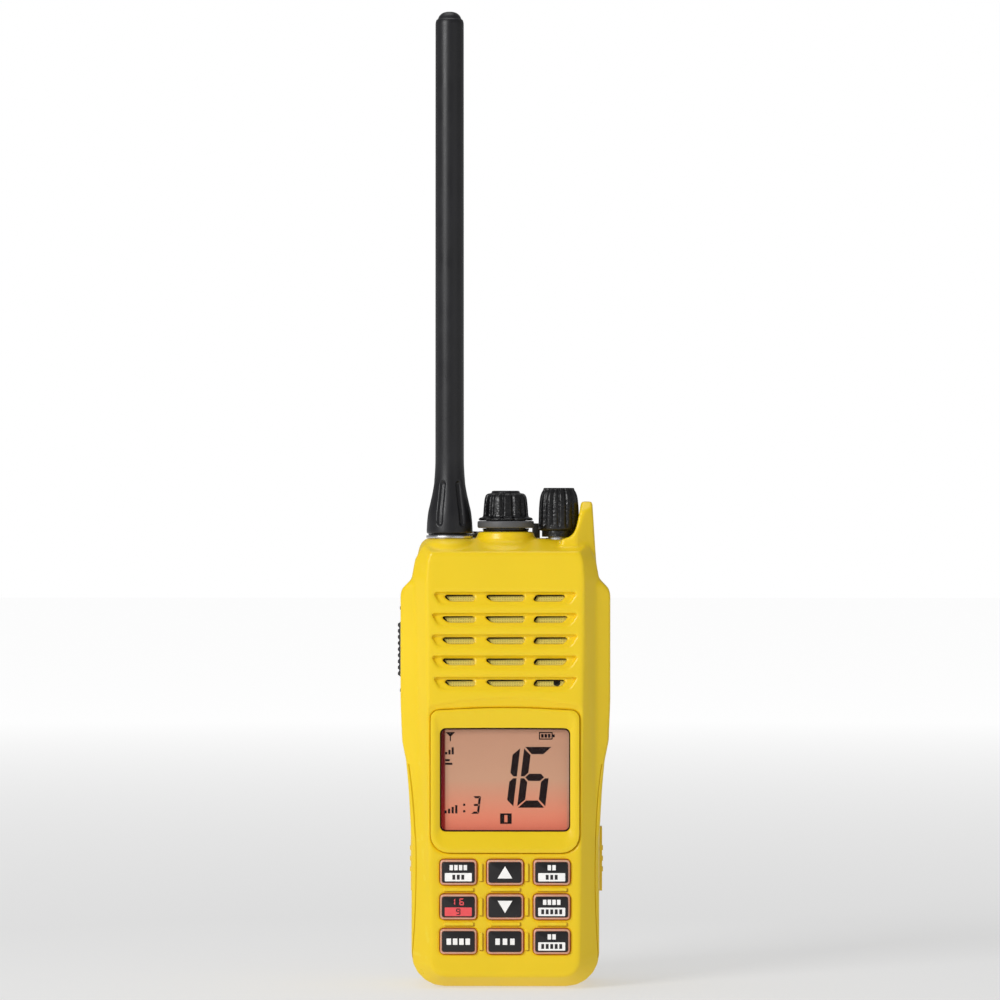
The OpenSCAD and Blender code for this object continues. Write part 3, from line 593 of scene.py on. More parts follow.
FINISHES = {
    "yellow_case": lambda n: make_yellow(n),
    "battery_yellow": lambda n: make_yellow(n, 0.3),
    "latch_yellow": lambda n: make_yellow(n, 0.2),
    "bezel_yellow": lambda n: make_yellow(n, 0.05),
    "black_rubber": lambda n: make_rubber(n, colour_of("rubber"), 0.5, 1500.0, 0.25),
    "knob_rubber": lambda n: make_rubber(n, tuple(c * 0.5 for c in colour_of("rubber")), 0.27,
                                         1700.0, 0.8),
    "antenna_rubber": lambda n: make_rubber(n, colour_of("antenna"), 0.36, 1300.0, 0.10, False),
    "ptt_rubber": lambda n: make_rubber(n, (0.02, 0.02, 0.021), 0.55, 2200.0, 0.4),
    "grey_rubber": lambda n: make_rubber(n, (0.11, 0.11, 0.115), 0.5, 1500.0, 0.25),
    "mic_boot": lambda n: make_rubber(n, (0.02, 0.018, 0.012), 0.6, 1500.0, 0.25),
    "black_plastic": lambda n: make_rubber(n, (0.016, 0.016, 0.017), 0.4, 2400.0, 0.2),
    "grip_black": lambda n: make_rubber(n, (0.02, 0.02, 0.02), 0.45, 900.0, 0.5),
    "key_black": lambda n: make_rubber(n, colour_of("key_cap"), 0.34, 2600.0, 0.08, False),
    "key_silicone": lambda n: make_plain(n, colour_of("key_glow"), 0.42, (0.12, 110.0),
                                         (1800.0, 0.12, 0.00005), Subsurface_Weight=0.35,
                                         Subsurface_Scale=0.0012, Emission_Strength=0.09,
                                         Emission_Color=(1.0, 0.22, 0.03, 1.0)),
    "clear_window": make_window,
    "screen_face": make_screen,
    # painted shadow: dark strips inside the grille slots
    "slot_foam": lambda n: make_ink(n, (0.012, 0.009, 0.005), 0.9),
    "lcd": lambda n: make_ink(n, (0.25, 0.16, 0.12), 0.4),
    "screen_ink": lambda n: make_ink(n, (0.012, 0.004, 0.004), 0.5),
    "screen_edge": lambda n: make_ink(n, (0.04, 0.012, 0.008), 0.5),
    "legend_white": lambda n: make_ink(n, (0.93, 0.92, 0.90), 0.5, 0.12),
    "legend_red": lambda n: make_ink(n, (0.80, 0.10, 0.11), 0.5, 0.15),
    "legend_dark": lambda n: make_ink(n, (0.035, 0.033, 0.034), 0.5),
    "light_guide": lambda n: make_plain(n, (0.85, 0.75, 0.62), 0.3, (0.05, 80.0), (1200.0, 0.06),
                                        Transmission_Weight=0.3),
    "cell_wrap": lambda n: make_plain(n, (0.03, 0.09, 0.28), 0.3, (0.15, 60.0), (500.0, 0.1),
                                      Coat_Weight=0.4),
    "circuit_board": make_board,
    "speaker_cloth": lambda n: make_cloth(n, colour_of("cloth")),
    "speaker_metal": lambda n: make_metal(n, (0.55, 0.55, 0.56), 0.35),
    "brass": lambda n: make_metal(n, (0.78, 0.57, 0.24), 0.28),
    "steel": lambda n: make_metal(n, (0.62, 0.62, 0.64), 0.3, True),
    "copper": lambda n: make_metal(n, (0.84, 0.42, 0.25), 0.3),
}
_made = {}


def material(name):
    if name not in _made:
        _made[name] = FINISHES[name](name)
    return _made[name]


def dress(**finishes):
    """Gives frame nodes that are shown as they are their finishes."""
    for node_name, finish in finishes.items():
        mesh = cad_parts[node_name].data
        mesh.materials.clear()
        mesh.materials.append(material(finish))


# ---------------------------------------------------------------- cases

def mirrored(right, rounds):
    """Both sides of an outline from its right side, listed from the base up."""
    return right + [(-x, z) for x, z in reversed(right)], list(rounds) + list(reversed(rounds))


def cut(bm, point, normal):
    """Slices off what lies past the plane and closes the cut."""
    done = bmesh.ops.bisect_plane(bm, geom=bm.verts[:] + bm.edges[:] + bm.faces[:], plane_co=point,
                                  plane_no=normal, clear_outer=True)
    rim = [e for e in done["geom_cut"] if isinstance(e, bmesh.types.BMEdge)]
    bmesh.ops.edgeloop_fill(bm, edges=rim)
    bmesh.ops.recalc_face_normals(bm, faces=bm.faces)
    return bm


def flipped(bm):
    """The same shape on the other side of the middle plane."""
    bmesh.ops.scale(bm, vec=(-1, 1, 1), verts=bm.verts)
    bmesh.ops.recalc_face_normals(bm, faces=bm.faces)
    return bm


def rod(radius, start, end, steps=32):
    """A plain round bar between two points."""
    bm = bmesh.new()
    start, end = Vector(start), Vector(end)
    line = end - start
    bmesh.ops.create_cone(bm, cap_ends=True, segments=steps, radius1=radius, radius2=radius,
                          depth=line.length)
    bmesh.ops.rotate(bm, verts=bm.verts, cent=(0, 0, 0),
                     matrix=Vector((0, 0, 1)).rotation_difference(line).to_matrix())
    bmesh.ops.translate(bm, vec=(start + end) / 2, verts=bm.verts)
    return bm


# The right side of each front-view outline from the base up: the body, its front panel, its hollow
SIDE = [(HALF_W, 0.0), (HALF_W, 113.6), (HALF_W - 1.0, 119.0), (HALF_W - 2.7, 122.2),
        (HALF_W - 4.5, DECK)]
SIDE_ROUNDS = [9.2, 0, 0, 0, 0.8]
FACE = [(20.5, 3.3), (21.9, 113.6), (21.5, 118.4), (21.0, 120.4), (20.4, DECK - 3.2)]
FACE_ROUNDS = [4.2, 0, 0, 0, 0.6]
INNER_W = HALF_W - WALL
INNER = [(INNER_W, WALL), (INNER_W, 113.0), (INNER_W - 1.0, 117.6), (INNER_W - 2.4, 120.0),
         (INNER_W - 4.2, DECK - 2.6)]
INNER_ROUNDS = [6.8, 0, 0, 0, 0.6]
UPPER = 120                          # outline corners above this belong to the top deck
FAR, UNDER, OVER = 40.0, -5, 140     # past the sides, the base and the top of the body


def cheek():
    """The grip swelling on the right side."""
    bm = slab([(19.0, 42.0), (HALF_W + 0.05, 42.0), (27.05, 55.8), (27.7, 62.8), (28.85, 68.4),
               (CHEEK, 79.8), (CHEEK, 109.2), (28.9, 110.8), (26.2, 113.6), (19.0, 114.4)],
              FRONT + 2.5, BAY)
    cut(bm, (HALF_W - 0.3, FRONT + 4.7, 0), (0.46, -0.89, 0))
    cut(bm, (HALF_W - 0.3, FRONT + 4.7, 112.0), (0.2, -0.6, 0.77))
    cut(bm, (CHEEK, BAY - 3.4, 0), (0.80, 0.60, 0))
    return bm


def guard():
    """The fin that shields the volume knob."""
    top = CASE_HIGH.z
    bm = slab([(15.4, DECK - 2), (15.6, DECK - 0.1), (17.6, DECK + 0.35), (19.1, DECK + 1.5),
               (19.9, DECK + 3.6), (20.6, DECK + 7.0), (21.1, top - 0.2), (21.4, top + 0.2),
               (24.0, top + 0.2), (24.3, top - 0.3), (25.1, DECK - 2.6), (25.5, DECK - 8)],
              CONTROL_Y - 9.4, SPLIT - 0.2)
    cut(bm, (20.0, CONTROL_Y - 9.3, 0), (0.58, -0.81, 0))
    cut(bm, (0, CONTROL_Y - 9.4, DECK + 1), (0, -0.97, 0.24))
    cut(bm, (0, CONTROL_Y - 4.6, top), (0, -0.62, 0.78))
    cut(bm, (0, SPLIT - 3.0, top), (0, 0.75, 0.66))
    room = rod(6.5, (KNOB_X, CONTROL_Y, DECK + 0.1), (KNOB_X, CONTROL_Y, top + 4), 48)
    return combine(bm, [room])


def body_form():
    """The whole outside of the radio as one soft block."""
    full, full_r = mirrored(SIDE, SIDE_ROUNDS)
    face, face_r = mirrored(FACE, FACE_ROUNDS)
    back, back_r = mirrored([(x - 2.6, max(z, 2.6) - (2.6 if z > UPPER else 0)) for x, z in SIDE],
                            [6.6, 0, 0, 0, 0.6])
    core = loft([(FRONT, face, face_r), (FRONT + 5.6, full, full_r), (BACK - 2.9, full, full_r),
                 (BACK, back, back_r)])
    cut(core, (0, FRONT, 121.1), (0, -0.354, 0.935))
    boss = turned([(0, 118.0), (13.0, 118.0), (12.4, 121.0), (10.6, 122.7), (8.5, 124.0),
                   (8.1, 124.6), (7.95, 126.45), (7.75, 126.75), (0, 126.75)],
                  centre=(CAP_X, CONTROL_Y))
    foot = turned([(0, 117.0), (10.0, 117.0), (9.8, 120.0), (9.3, 122.2), (8.6, 123.6),
                   (7.6, 124.5), (7.0, DECK), (0, DECK)])
    bmesh.ops.scale(foot, vec=(0.92, 1.26, 1.0), verts=foot.verts)
    bmesh.ops.translate(foot, vec=(ANTENNA_X, CONTROL_Y, 0), verts=foot.verts)
    return joined(core, cheek(), flipped(cheek()), guard(), boss, foot)


def bezel_corners(grow=0.0):
    low, high = box_mm("display_bezel")
    shoulder = high.z - 1.0
    return [(high.x + grow, low.z - grow), (high.x + grow, shoulder + grow), (0, high.z + grow),
            (low.x - grow, shoulder + grow), (low.x - grow, low.z - grow)]


BEZEL_ROUNDS = [5.0, 2.2, 9.0, 2.2, 5.0]


def key_places():
    for name in KEY_NAMES:
        centre = middle(f"key_{name}_cap")
        yield name, centre.x, centre.z


KEY_W, KEY_H = 10.07, 6.9      # a key's silicone frame
KEY_ROOM = 0.22                # left free round it in the front case


def slot_rows():
    """Height of each row of slots, and how far its ends bow outwards."""
    for row in range(5):
        yield 109.2 - 5.9 * row, 1.1 * math.sin(math.pi * (row + 0.6) / 5.2)


def slot_corners():
    """Corners of the fifteen slots: upper left, upper right, lower right, lower left."""
    for z, bow in slot_rows():
        for x0, x1, s0, s1 in ((-17 - bow, -8.5, 1.7, 0.2), (-6, 5.5, 2.1, -0.3),
                               (8.6, 16.8 + bow, -1.2, -1.6)):
            yield (x0, z), (x1, z), (x1 + s1, z - 1.8), (x0 + s0, z - 1.8)


def slots_and_scoops():
    """The slanted slots of the grille, and the scoops that lead to them."""
    scoops = []
    for z, bow in slot_rows():
        left, right = -19.7 - bow, 20.0 + bow * 0.4
        corners = [(left, z + 0.8), (right, z + 0.8), (right - 2.6, z - 2.9), (left + 2.2, z - 2.9)]
        scoop = slab(corners, FRONT - 1.5, FRONT + 1.9, [0.9, 0.3, 1.2, 1.2])
        for vert in scoop.verts:
            if vert.co.y > FRONT:
                vert.co.y = FRONT + 0.25 + 1.35 * (vert.co.z - z + 2.9) / 3.7
        scoops.append(scoop)
    holes = [slab(corners, FRONT - 0.5, FRONT + 3.4, [0.15, 0.15, 0.35, 1.2])
             for corners in slot_corners()]
    return joined(*scoops), joined(*holes)


def painted_slot_shadows():
    """Dark strips painted as shadow along the top and the left end of each slot, where the case
    wall shades the membrane.
    """
    front = box_mm("speaker_mesh")[0].y - 0.5
    strips = []
    for (x0, z0), (x1, _), _, (x3, z3) in slot_corners():
        lean = (x3 - x0) / (z0 - z3)
        wide = 0.75 if lean > 0 else 0.6
        strips.append(slab([(x0 - 0.5, z0 + 0.4), (x1 - 0.2, z0 + 0.4), (x1 - 0.6, z0 - 0.30),
                            (x0 + wide + 0.3 * lean, z0 - 0.42), (x3 + wide * 0.8, z3 - 0.4),
                            (x3 - 0.6, z3 - 0.4)], front, front + 0.45))
    return joined(*strips)


def bar_places():
    """Middle, width and height of each raised bar between the keys."""
    keys = {name: (x, z) for name, x, z in key_places()}
    half_gap = (keys["channel"][1] - keys["calling"][1]) / 2
    for upper in KEY_NAMES[:6]:
        x, z = keys[upper]
        yield x + 0.1, z - half_gap + 0.05, 8.2, 0.95
    for row in ("up", "down", "memory"):
        x, z = keys[row]
        for side in (-6.75, 6.0):
            yield x + side, z, 1.0, 4.9


def groove(x, z, w, h, deep=0.4):
    """The narrow channel along the lower and right edge of a raised bar."""
    corners = rect(x - w / 2 + 0.1, x + w / 2 + 0.34, z - h / 2 - 0.26, z + h / 2 - 0.1)
    return slab(corners, FRONT - 1.5, FRONT + deep, 0.3)


def raised(x, z, w, h, proud=0.62):
    """One raised bar with its edges drawn in towards the front."""
    def at(y, inset):
        corners = rect(x - w / 2 + inset, x + w / 2 - inset, z - h / 2 + inset, z + h / 2 - inset)
        return y, corners, [0.3 - inset] * 4
    return loft([at(FRONT - proud, 0.14), at(FRONT - proud + 0.14, 0.0), at(FRONT + 0.8, 0.0)], 3)


def screw_places():
    """Middle of each of the four case screws, in the front view."""
    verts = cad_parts["case_screws"].data.vertices
    for side in (-1, 1):
        for upper in (False, True):
            group = [v.co / MM for v in verts if v.co.x * side > 0 and (v.co.z / MM > 60) == upper]
            yield ((min(p.x for p in group) + max(p.x for p in group)) / 2,
                   (min(p.z for p in group) + max(p.z for p in group)) / 2)


def screw_rods(radius, start, end, steps):
    return [rod(radius, (x, start, z), (x, end, z), steps) for x, z in screw_places()]


def front_cavity():
    narrow, narrow_r = mirrored([(19.6, 6.4), (20.6, 113.0), (20.0, 117.0), (19.2, 118.4),
                                 (18.6, DECK - 5.6)], [3.4, 0, 0, 0, 0.5])
    inner, inner_r = mirrored(INNER, INNER_ROUNDS)
    hollow = loft([(FRONT + WALL, narrow, narrow_r), (FRONT + 6.8, inner, inner_r),
                   (SPLIT + 1.0, inner, inner_r)])
    return combine(hollow, screw_rods(2.6, FRONT, SPLIT + 2, 24))


def seam():
    """The thin curved joint line that runs down each side of the front."""
    blades = []
    radius, low_z, high_z = 200.0, 8.0, 62.0
    mid_z, apex = 34.0, FRONT + 3.5
    section = ((HALF_W - 2.2, 0.9), (HALF_W + 3, -1.4), (HALF_W + 3, -0.9), (HALF_W - 2.2, 1.3))
    steps = 14
    for side in (-1, 1):
        bm = bmesh.new()
        rows = []
        for k in range(steps + 1):
            z = low_z + (high_z - low_z) * k / steps
            y = apex + radius - math.sqrt(radius ** 2 - (z - mid_z) ** 2)
            rows.append([bm.verts.new((side * x, y + dy, z)) for x, dy in section])
        for a, b in zip(rows, rows[1:]):
            for i in range(4):
                bm.faces.new((a[i], a[(i + 1) % 4], b[(i + 1) % 4], b[i]))
        bm.faces.new(rows[0])
        bm.faces.new(list(reversed(rows[-1])))
        bmesh.ops.recalc_face_normals(bm, faces=bm.faces)
        blades.append(bm)
    return blades


def front_cutters():
    """What is sunk into the front panel, the top deck and the left cheek."""
    low, high = box_mm("display_window")
    mid, half = (low + high) / 2, (high - low) / 2
    window = rect(-half.x + 1, half.x - 1, mid.z - half.z + 1, mid.z + half.z - 1)
    dish = [(21.2, 37.0), (21.4, 78.3), (0, 81.8), (-21.4, 78.3), (-21.2, 37.0)]
    cutters = [slab(dish, FRONT - 2, FRONT + 0.32, [5.0, 1.5, 12.0, 1.5, 5.0]), *slots_and_scoops(),
               slab(bezel_corners(0.12), FRONT - 2, FRONT + 1.5, BEZEL_ROUNDS),
               slab(window, FRONT - 1, FRONT + 3.5, 1.4)]
    keys, lips = [], []
    for _, x, z in key_places():
        w, h = KEY_W / 2 + KEY_ROOM, KEY_H / 2 + KEY_ROOM
        keys.append(slab(rect(x - w, x + w, z - h, z + h), FRONT - 1, FRONT + 3.5, 1.2))
        w, h = w + 0.3, h + 0.3
        lips.append(slab(rect(x - w, x + w, z - h, z + h), FRONT - 1, FRONT + 0.35, 1.5))
    cutters += [joined(*keys), joined(*lips)]
    for x, radius in ((KNOB_X, 3.7), (CAP_X, 5.1), (ANTENNA_X, 4.7)):
        cutters.append(rod(radius, (x, CONTROL_Y, DECK - 3.5), (x, CONTROL_Y, DECK + 6)))
    pad = middle("ptt_pad")
    cutters.append(block((-CHEEK - 2, pad.y - 4.25, pad.z - 13.75),
                         (-CHEEK + 3.6, pad.y + 4.25, pad.z + 13.75)))
    return cutters


def front_shell(form, fine, sizes):
    front = combine(form, [block((-FAR, -FAR, UNDER), (FAR, SPLIT, OVER))], "INTERSECT")
    front = moulded(combine(front, front_cutters()), fine, sizes.rounds, sizes.front_faces)
    grooves = [groove(*place) for place in bar_places()]
    front = combine(front, [front_cavity(), *seam(), *grooves])
    return combine(front, [raised(*place) for place in bar_places()], "UNION")


def rear_shell(form, fine, sizes):
    """The plate before the battery and the head above it, hollow, with a lanyard eye."""
    plate = block((-FAR, REAR, UNDER), (FAR, BAY, OVER))
    head = block((-FAR, REAR, BATTERY_TOP + 0.5), (FAR, FAR, OVER))
    rear = combine(form, [combine(plate, [head], "UNION")], "INTERSECT")
    eye_x, eye_y, eye_z = -(HALF_W - 10), BACK + 2.6, DECK - 13
    lug, thick = 3.35, 2
    rear = joined(rear, rod(lug, (eye_x - thick, eye_y, eye_z), (eye_x + thick, eye_y, eye_z)),
                  block((eye_x - thick, BACK - 2, eye_z - lug),
                        (eye_x + thick, eye_y, eye_z + lug)))
    rear = moulded(rear, fine, sizes.rounds, sizes.rear_faces)
    inner, inner_r = mirrored(INNER, INNER_ROUNDS)
    upper = combine(slab(inner, BAY - 2.5, BACK - WALL, inner_r),
                    [block((-FAR, 0, BATTERY_TOP + 0.5 + WALL), (FAR, FAR, OVER))], "INTERSECT")
    hollow = combine(combine(slab(inner, REAR - 1, BAY - 2, inner_r), [upper], "UNION"),
                     screw_rods(3.3, REAR - 2, BACK + 2, 24))
    port = block((-12, BAY - 4, 85.4), (12, BAY + 1, 90.6))
    return combine(rear, [hollow, *screw_rods(1.25, REAR - 2, BACK + 3, 20),
                          *screw_rods(2.2, BAY - 1.4, BACK + 3, 32), port,
                          rod(1.75, (eye_x - 6, eye_y, eye_z), (eye_x + 6, eye_y, eye_z))])


def case_seal():
    """The gasket between the front and the rear case, which follows their outline."""
    rim, rim_r = mirrored([(x - 0.5, z + (0.5 if z < 1 else -0.5 if z > UPPER else 0))
                           for x, z in SIDE], [8.7, 0, 0, 0, 0.8])
    swell = rect(15, CHEEK - 0.6, 70, 108)
    seal = combine(slab(rim, SPLIT, REAR, rim_r),
                   [slab(swell, SPLIT, REAR), flipped(slab(swell, SPLIT, REAR))], "UNION")
    inner, inner_r = mirrored(INNER, INNER_ROUNDS)
    return combine(seal, [slab(inner, SPLIT - 1, REAR + 1, inner_r)])


def battery_shell(form, fine, sizes):
    """The battery case with pockets for its latches, a ribbed grip, and room for the cells."""
    pack = combine(form, [block((-FAR, BODY_LOW.y, UNDER), (FAR, FAR, BATTERY_TOP))], "INTERSECT")
    cutters = []
    pocket_y, pocket_half = 13.55, 3.45
    for name in ("latch_left", "latch_right"):
        low, high = box_mm(name)
        outer = high.x if high.x > 0 else low.x
        side = 1 if outer > 0 else -1
        x0, x1 = sorted((outer + side * 2, side * (HALF_W - 3.6)))
        cutters.append(block((x0, pocket_y - pocket_half, low.z),
                             (x1, pocket_y + pocket_half, high.z)))
    cutters.append(slab(rect(-15, 15, 6, 22), BACK - 0.45, BACK + 2, 1.5))
    ribs = [slab(rect(-13, 13, z - 0.55, z + 0.55), BACK - 1.2, BACK - 0.02, 0.4)
            for z in (8.6, 11.4, 14.2, 17.0, 19.8)]
    pack = moulded(joined(combine(pack, cutters), *ribs), fine, sizes.rounds, sizes.rear_faces)
    low, high = box_mm("battery_cells")
    room = Vector((0.1, 0.1, 0.1))
    return combine(pack, [block(low - room, high + room)])


class RADIO_OT_cases(bpy.types.Operator):
    """Moulds the front case, the rear case and the battery case from one soft block"""
    bl_idname = "radio.cases"
    bl_label = "Cases"

    def execute(self, context):
        sizes = context.scene.radio_sizes
        fine = sizes.voxel
        form = moulded(body_form(), sizes.form_voxel, sizes.form_rounds)
        piece(front_shell(form.copy(), fine, sizes), "front_shell", "yellow_case",
              stands_for=("front_case",), merged=False)
        # dark strips inside the grille slots, painted as their shadow
        piece(painted_slot_shadows(), "grille_seal", "slot_foam")
        piece(rear_shell(form.copy(), fine, sizes), "rear_shell", "yellow_case",
              stands_for=("rear_case",), merged=False)
        piece(case_seal(), "case_seal", "black_rubber", stands_for=("case_gasket",))
        piece(battery_shell(form, fine, sizes), "battery_shell", "battery_yellow", "battery",
              ("battery_case",), merged=False)
        return {"FINISHED"}


# ---------------------------------------------------------------- display

def opening(x, low, high, arch=0.12):
    """Corners of the display opening, with the same count as the bezel's."""
    return [(x, low), (x, high), (0, high + arch), (-x, high), (-x, low)]


class RADIO_OT_display(bpy.types.Operator):
    """Builds the arched bezel, the lit screen behind its window, and the dark marks on it"""
    bl_idname = "radio.display"
    bl_label = "Display"

    def execute(self, context):
        low, high = box_mm("display_window")
        x, z0, z1 = high.x - 1.0, low.z + 1.0, high.z - 1.0

        def opened(out):
            return opening(x + out, z0 - out, z1 + out)

        inner = [1.6, 1.6, 6.0, 1.6, 1.6]
        rim = FRONT - 0.7
        seat = FRONT + 1.4
        crest = opening(x + 1.2, z0 - 4.6, z1 + 4.4, 1.0)
        bezel = ring([(seat, bezel_corners(), BEZEL_ROUNDS),
                      (rim + 0.45, bezel_corners(), BEZEL_ROUNDS),
                      (rim + 0.12, bezel_corners(-0.12), BEZEL_ROUNDS),
                      (rim, bezel_corners(-0.5), BEZEL_ROUNDS),
                      (rim + 0.01, crest, [4.4, 1.9, 8.0, 1.9, 4.4]),
                      (FRONT + 0.02, opening(x + 0.35, z0 - 0.5, z1 + 0.5), inner),
                      (FRONT + 0.12, opening(x + 0.08, z0 - 0.12, z1 + 0.12), inner),
                      (FRONT + 0.28, opened(0), inner),
                      (FRONT + 0.29, opened(1.04), inner), (seat - 0.01, opened(1.04), inner)])
        piece(bezel, "display_frame", "bezel_yellow", stands_for=("display_bezel",))
        dress(display_window="clear_window", lcd_panel="lcd")
        glass = box_mm("lcd_panel")[0].y
        face = slab(rect(-x + 0.05, x - 0.05, z0 + 0.05, z1 - 0.05),
                    glass - 0.14, glass - 0.02, 1.4)
        piece(face, "screen_face", "screen_face")
        edge, edge_r = opening(x - 0.34, z0 + 0.34, z1 - 0.46), [1.4, 1.4, 6, 1.4, 1.4]
        edge = ring([(glass - 0.3, opened(-0.05), inner), (glass - 1.1, opened(-0.05), inner),
                     (glass - 1.11, edge, edge_r), (glass - 0.31, edge, edge_r)])
        piece(edge, "screen_edge", "screen_edge")
        ink = glass - 0.20
        marks = [*digit("1", 0.3, 50.0, 1.9, 16.9, 1.9, ink),
                 *digit("6", 3.3, 50.0, 7.8, 16.9, 2.0, ink),
                 *digit("3", -9.5, 48.3, 2.2, 4.9, 0.6, ink),
                 mark([(-16.6, 71.0), (-13.9, 71.0), (-15.25, 69.7)], ink)]
        marks += [mark(rect(*sides), ink) for sides in SCREEN_BARS]
        piece(joined(*marks), "screen_marks", "screen_ink")
        return {"FINISHED"}


# The bars of the signs on the screen, as (left, right, low, high)
SCREEN_BARS = (
    (-15.4, -15.1, 68.5, 70.4),                                                     # aerial's mast
    (9.4, 13.0, 70.75, 71.05), (9.4, 13.0, 68.95, 69.25), (9.4, 9.7, 69.0, 71.0),   # battery
    (12.9, 13.2, 69.0, 71.0), (13.2, 13.8, 69.6, 70.4), (10.0, 10.7, 69.5, 70.5),
    (10.95, 11.65, 69.5, 70.5), (11.9, 12.6, 69.5, 70.5),
    (-1.4, 1.8, 47.95, 48.4), (-1.4, 1.8, 45.5, 45.95), (-1.4, -0.25, 45.9, 48.0),  # boxed bar
    (0.65, 1.8, 45.9, 48.0),
    (-16.7, -16.1, 64.8, 65.5), (-15.8, -15.2, 64.8, 66.1), (-14.9, -14.3, 64.8, 66.8),  # signal
    (-16.7, -14.7, 61.9, 62.5), (-16.7, -15.4, 62.9, 63.5),
    (-16.9, -16.3, 48.4, 49.2), (-15.9, -15.3, 48.4, 49.7), (-14.9, -14.3, 48.4, 50.2),  # level
    (-13.9, -13.3, 48.4, 50.7),
    (-11.7, -11.1, 48.7, 49.3), (-11.7, -11.1, 50.5, 51.1),                         # two dots
)

# Which bars each figure shows, lettered from the top clockwise, with g in the middle
SEGMENTS = {"1": "bc", "3": "abcdg", "6": "acdefg", "9": "abcdfg"}


def mark(corners, y, thick=0.05):
    return slab(corners, y, y + thick)


def digit(value, x, z, w, h, t, y, lean=0.12):
    """One slanted seven-segment figure as separate bars with mitred ends."""
    gap, half, mid = t * 0.14, t / 2, h / 2
    top = [(gap, h), (w - gap, h), (w - t - gap, h - t), (t + gap, h - t)]
    centre = [(half + gap, mid), (t + gap, mid + half), (w - t - gap, mid + half),
              (w - half - gap, mid), (w - t - gap, mid - half), (t + gap, mid - half)]
    side = [(0, h - gap * 1.5), (0, mid + gap), (half, mid + gap), (t, mid + half + gap),
            (t, h - t - gap)]

    def across(points):
        return [(w - u, v) for u, v in points]

    def down(points):
        return [(u, h - v) for u, v in points]

    shapes = {"a": top, "b": across(side), "c": down(across(side)), "d": down(top),
              "e": down(side), "f": side, "g": centre}
    return [mark([(x + u + lean * v, z + v) for u, v in shapes[name]], y)
            for name in SEGMENTS[value]]


# ---------------------------------------------------------------- keys

def strokes(x, z, count, wide, high, pitch, y, top=0.06):
    """A row of small plain blocks."""
    first = x - pitch * (count - 1) / 2
    return [mark(centred_rect(first + pitch * k, z, wide, high), y, top) for k in range(count)]


# How many blocks stand above and on the pale bar of each key
KEY_STROKES = {"channel": (4, 3), "weather": (2, 3), "power": (4, 5), "dual": (2, 5)}


def legends(name, x, z, y):
    """The printed marks on one key, as (finish, shapes)."""
    top = y + 0.08
    above = y - 0.03
    white, red, dark = [], [], []
    if name in KEY_STROKES:
        upper, lower = KEY_STROKES[name]
        white = [slab(centred_rect(x, z - 1.3, 7.5, 2.3), y, top, 0.2),
                 *strokes(x, z + 1.35, upper, 0.95, 1.45, 1.3, y)]
        dark = strokes(x, z - 1.3, lower, 0.8, 1.35, 1.25, above, 0.05)
    elif name == "up":
        white = [slab([(x - 2.05, z - 1.65), (x + 2.05, z - 1.65), (x, z + 1.75)], y, top, 0.06)]
    elif name == "down":
        white = [slab([(x - 2.05, z + 1.75), (x, z - 1.65), (x + 2.05, z + 1.75)], y, top, 0.06)]
    elif name == "calling":
        red = [slab(centred_rect(x, z - 1.3, 7.5, 2.4), y, top, 0.2),
               *digit("1", x - 1.2, z + 0.5, 0.34, 1.9, 0.34, y, 0.0),
               *digit("6", x + 0.3, z + 0.5, 1.25, 1.9, 0.32, y, 0.0)]
        dark = digit("9", x - 0.6, z - 2.2, 1.2, 1.8, 0.3, above, 0.0)
    else:
        count, pitch = (4, 1.75) if name == "scan" else (3, 2.05)
        white = strokes(x, z, count, 1.25, 1.75, pitch, y)
    found = (("legend_white", white), ("legend_red", red), ("legend_dark", dark))
    return [(finish, shapes) for finish, shapes in found if shapes]


class RADIO_OT_keys(bpy.types.Operator):
    """Builds the nine keys: a glowing silicone frame, a black cap and its printed marks"""
    bl_idname = "radio.keys"
    bl_label = "Keys"

    def execute(self, context):
        for name, x, z in key_places():
            body = f"key_{name}"
            frame_low, frame_high = box_mm(f"{body}_frame")
            cap_low, cap_high = box_mm(f"{body}_cap")
            cap_w, cap_h = cap_high.x - cap_low.x, cap_high.z - cap_low.z
            front, seat = frame_low.y, cap_high.y

            def at(y, w, h, radius):
                return y, centred_rect(x, z, w, h), [radius] * 4

            foot_w, foot_h = KEY_W + 1.3, KEY_H + 1.3
            foot = -16.35
            skirt = loft([at(foot + 0.6, foot_w, foot_h, 0.8), at(foot, foot_w, foot_h, 0.8),
                          at(foot - 0.01, KEY_W, KEY_H, 0.9), at(front + 0.42, KEY_W, KEY_H, 0.9),
                          at(front + 0.1, KEY_W - 0.22, KEY_H - 0.22, 0.85),
                          at(front, KEY_W - 0.6, KEY_H - 0.6, 0.75),
                          at(front + 0.01, cap_w + 0.16, cap_h + 0.16, 0.62),
                          at(seat, cap_w + 0.16, cap_h + 0.16, 0.62)], 4)
            stem = rod(1.5, (x, -16.0, z), (x, frame_high.y, z), 24)
            piece(joined(skirt, stem), f"{body}_skirt", "key_silicone", body,
                  (f"{body}_frame",))
            top = loft([at(seat, cap_w, cap_h, 0.6), at(cap_low.y + 0.24, cap_w, cap_h, 0.6),
                        at(cap_low.y + 0.07, cap_w - 0.16, cap_h - 0.16, 0.58),
                        at(cap_low.y, cap_w - 0.5, cap_h - 0.5, 0.5)], 4)
            piece(top, f"{body}_top", "key_black", body, (f"{body}_cap",))
            for finish, shapes in legends(name, x, z, cap_low.y - 0.03):
                piece(joined(*shapes), f"{body}_{finish}", finish, body)
        dress(keypad_mat="key_silicone")
        return {"FINISHED"}


# ---------------------------------------------------------------- top controls

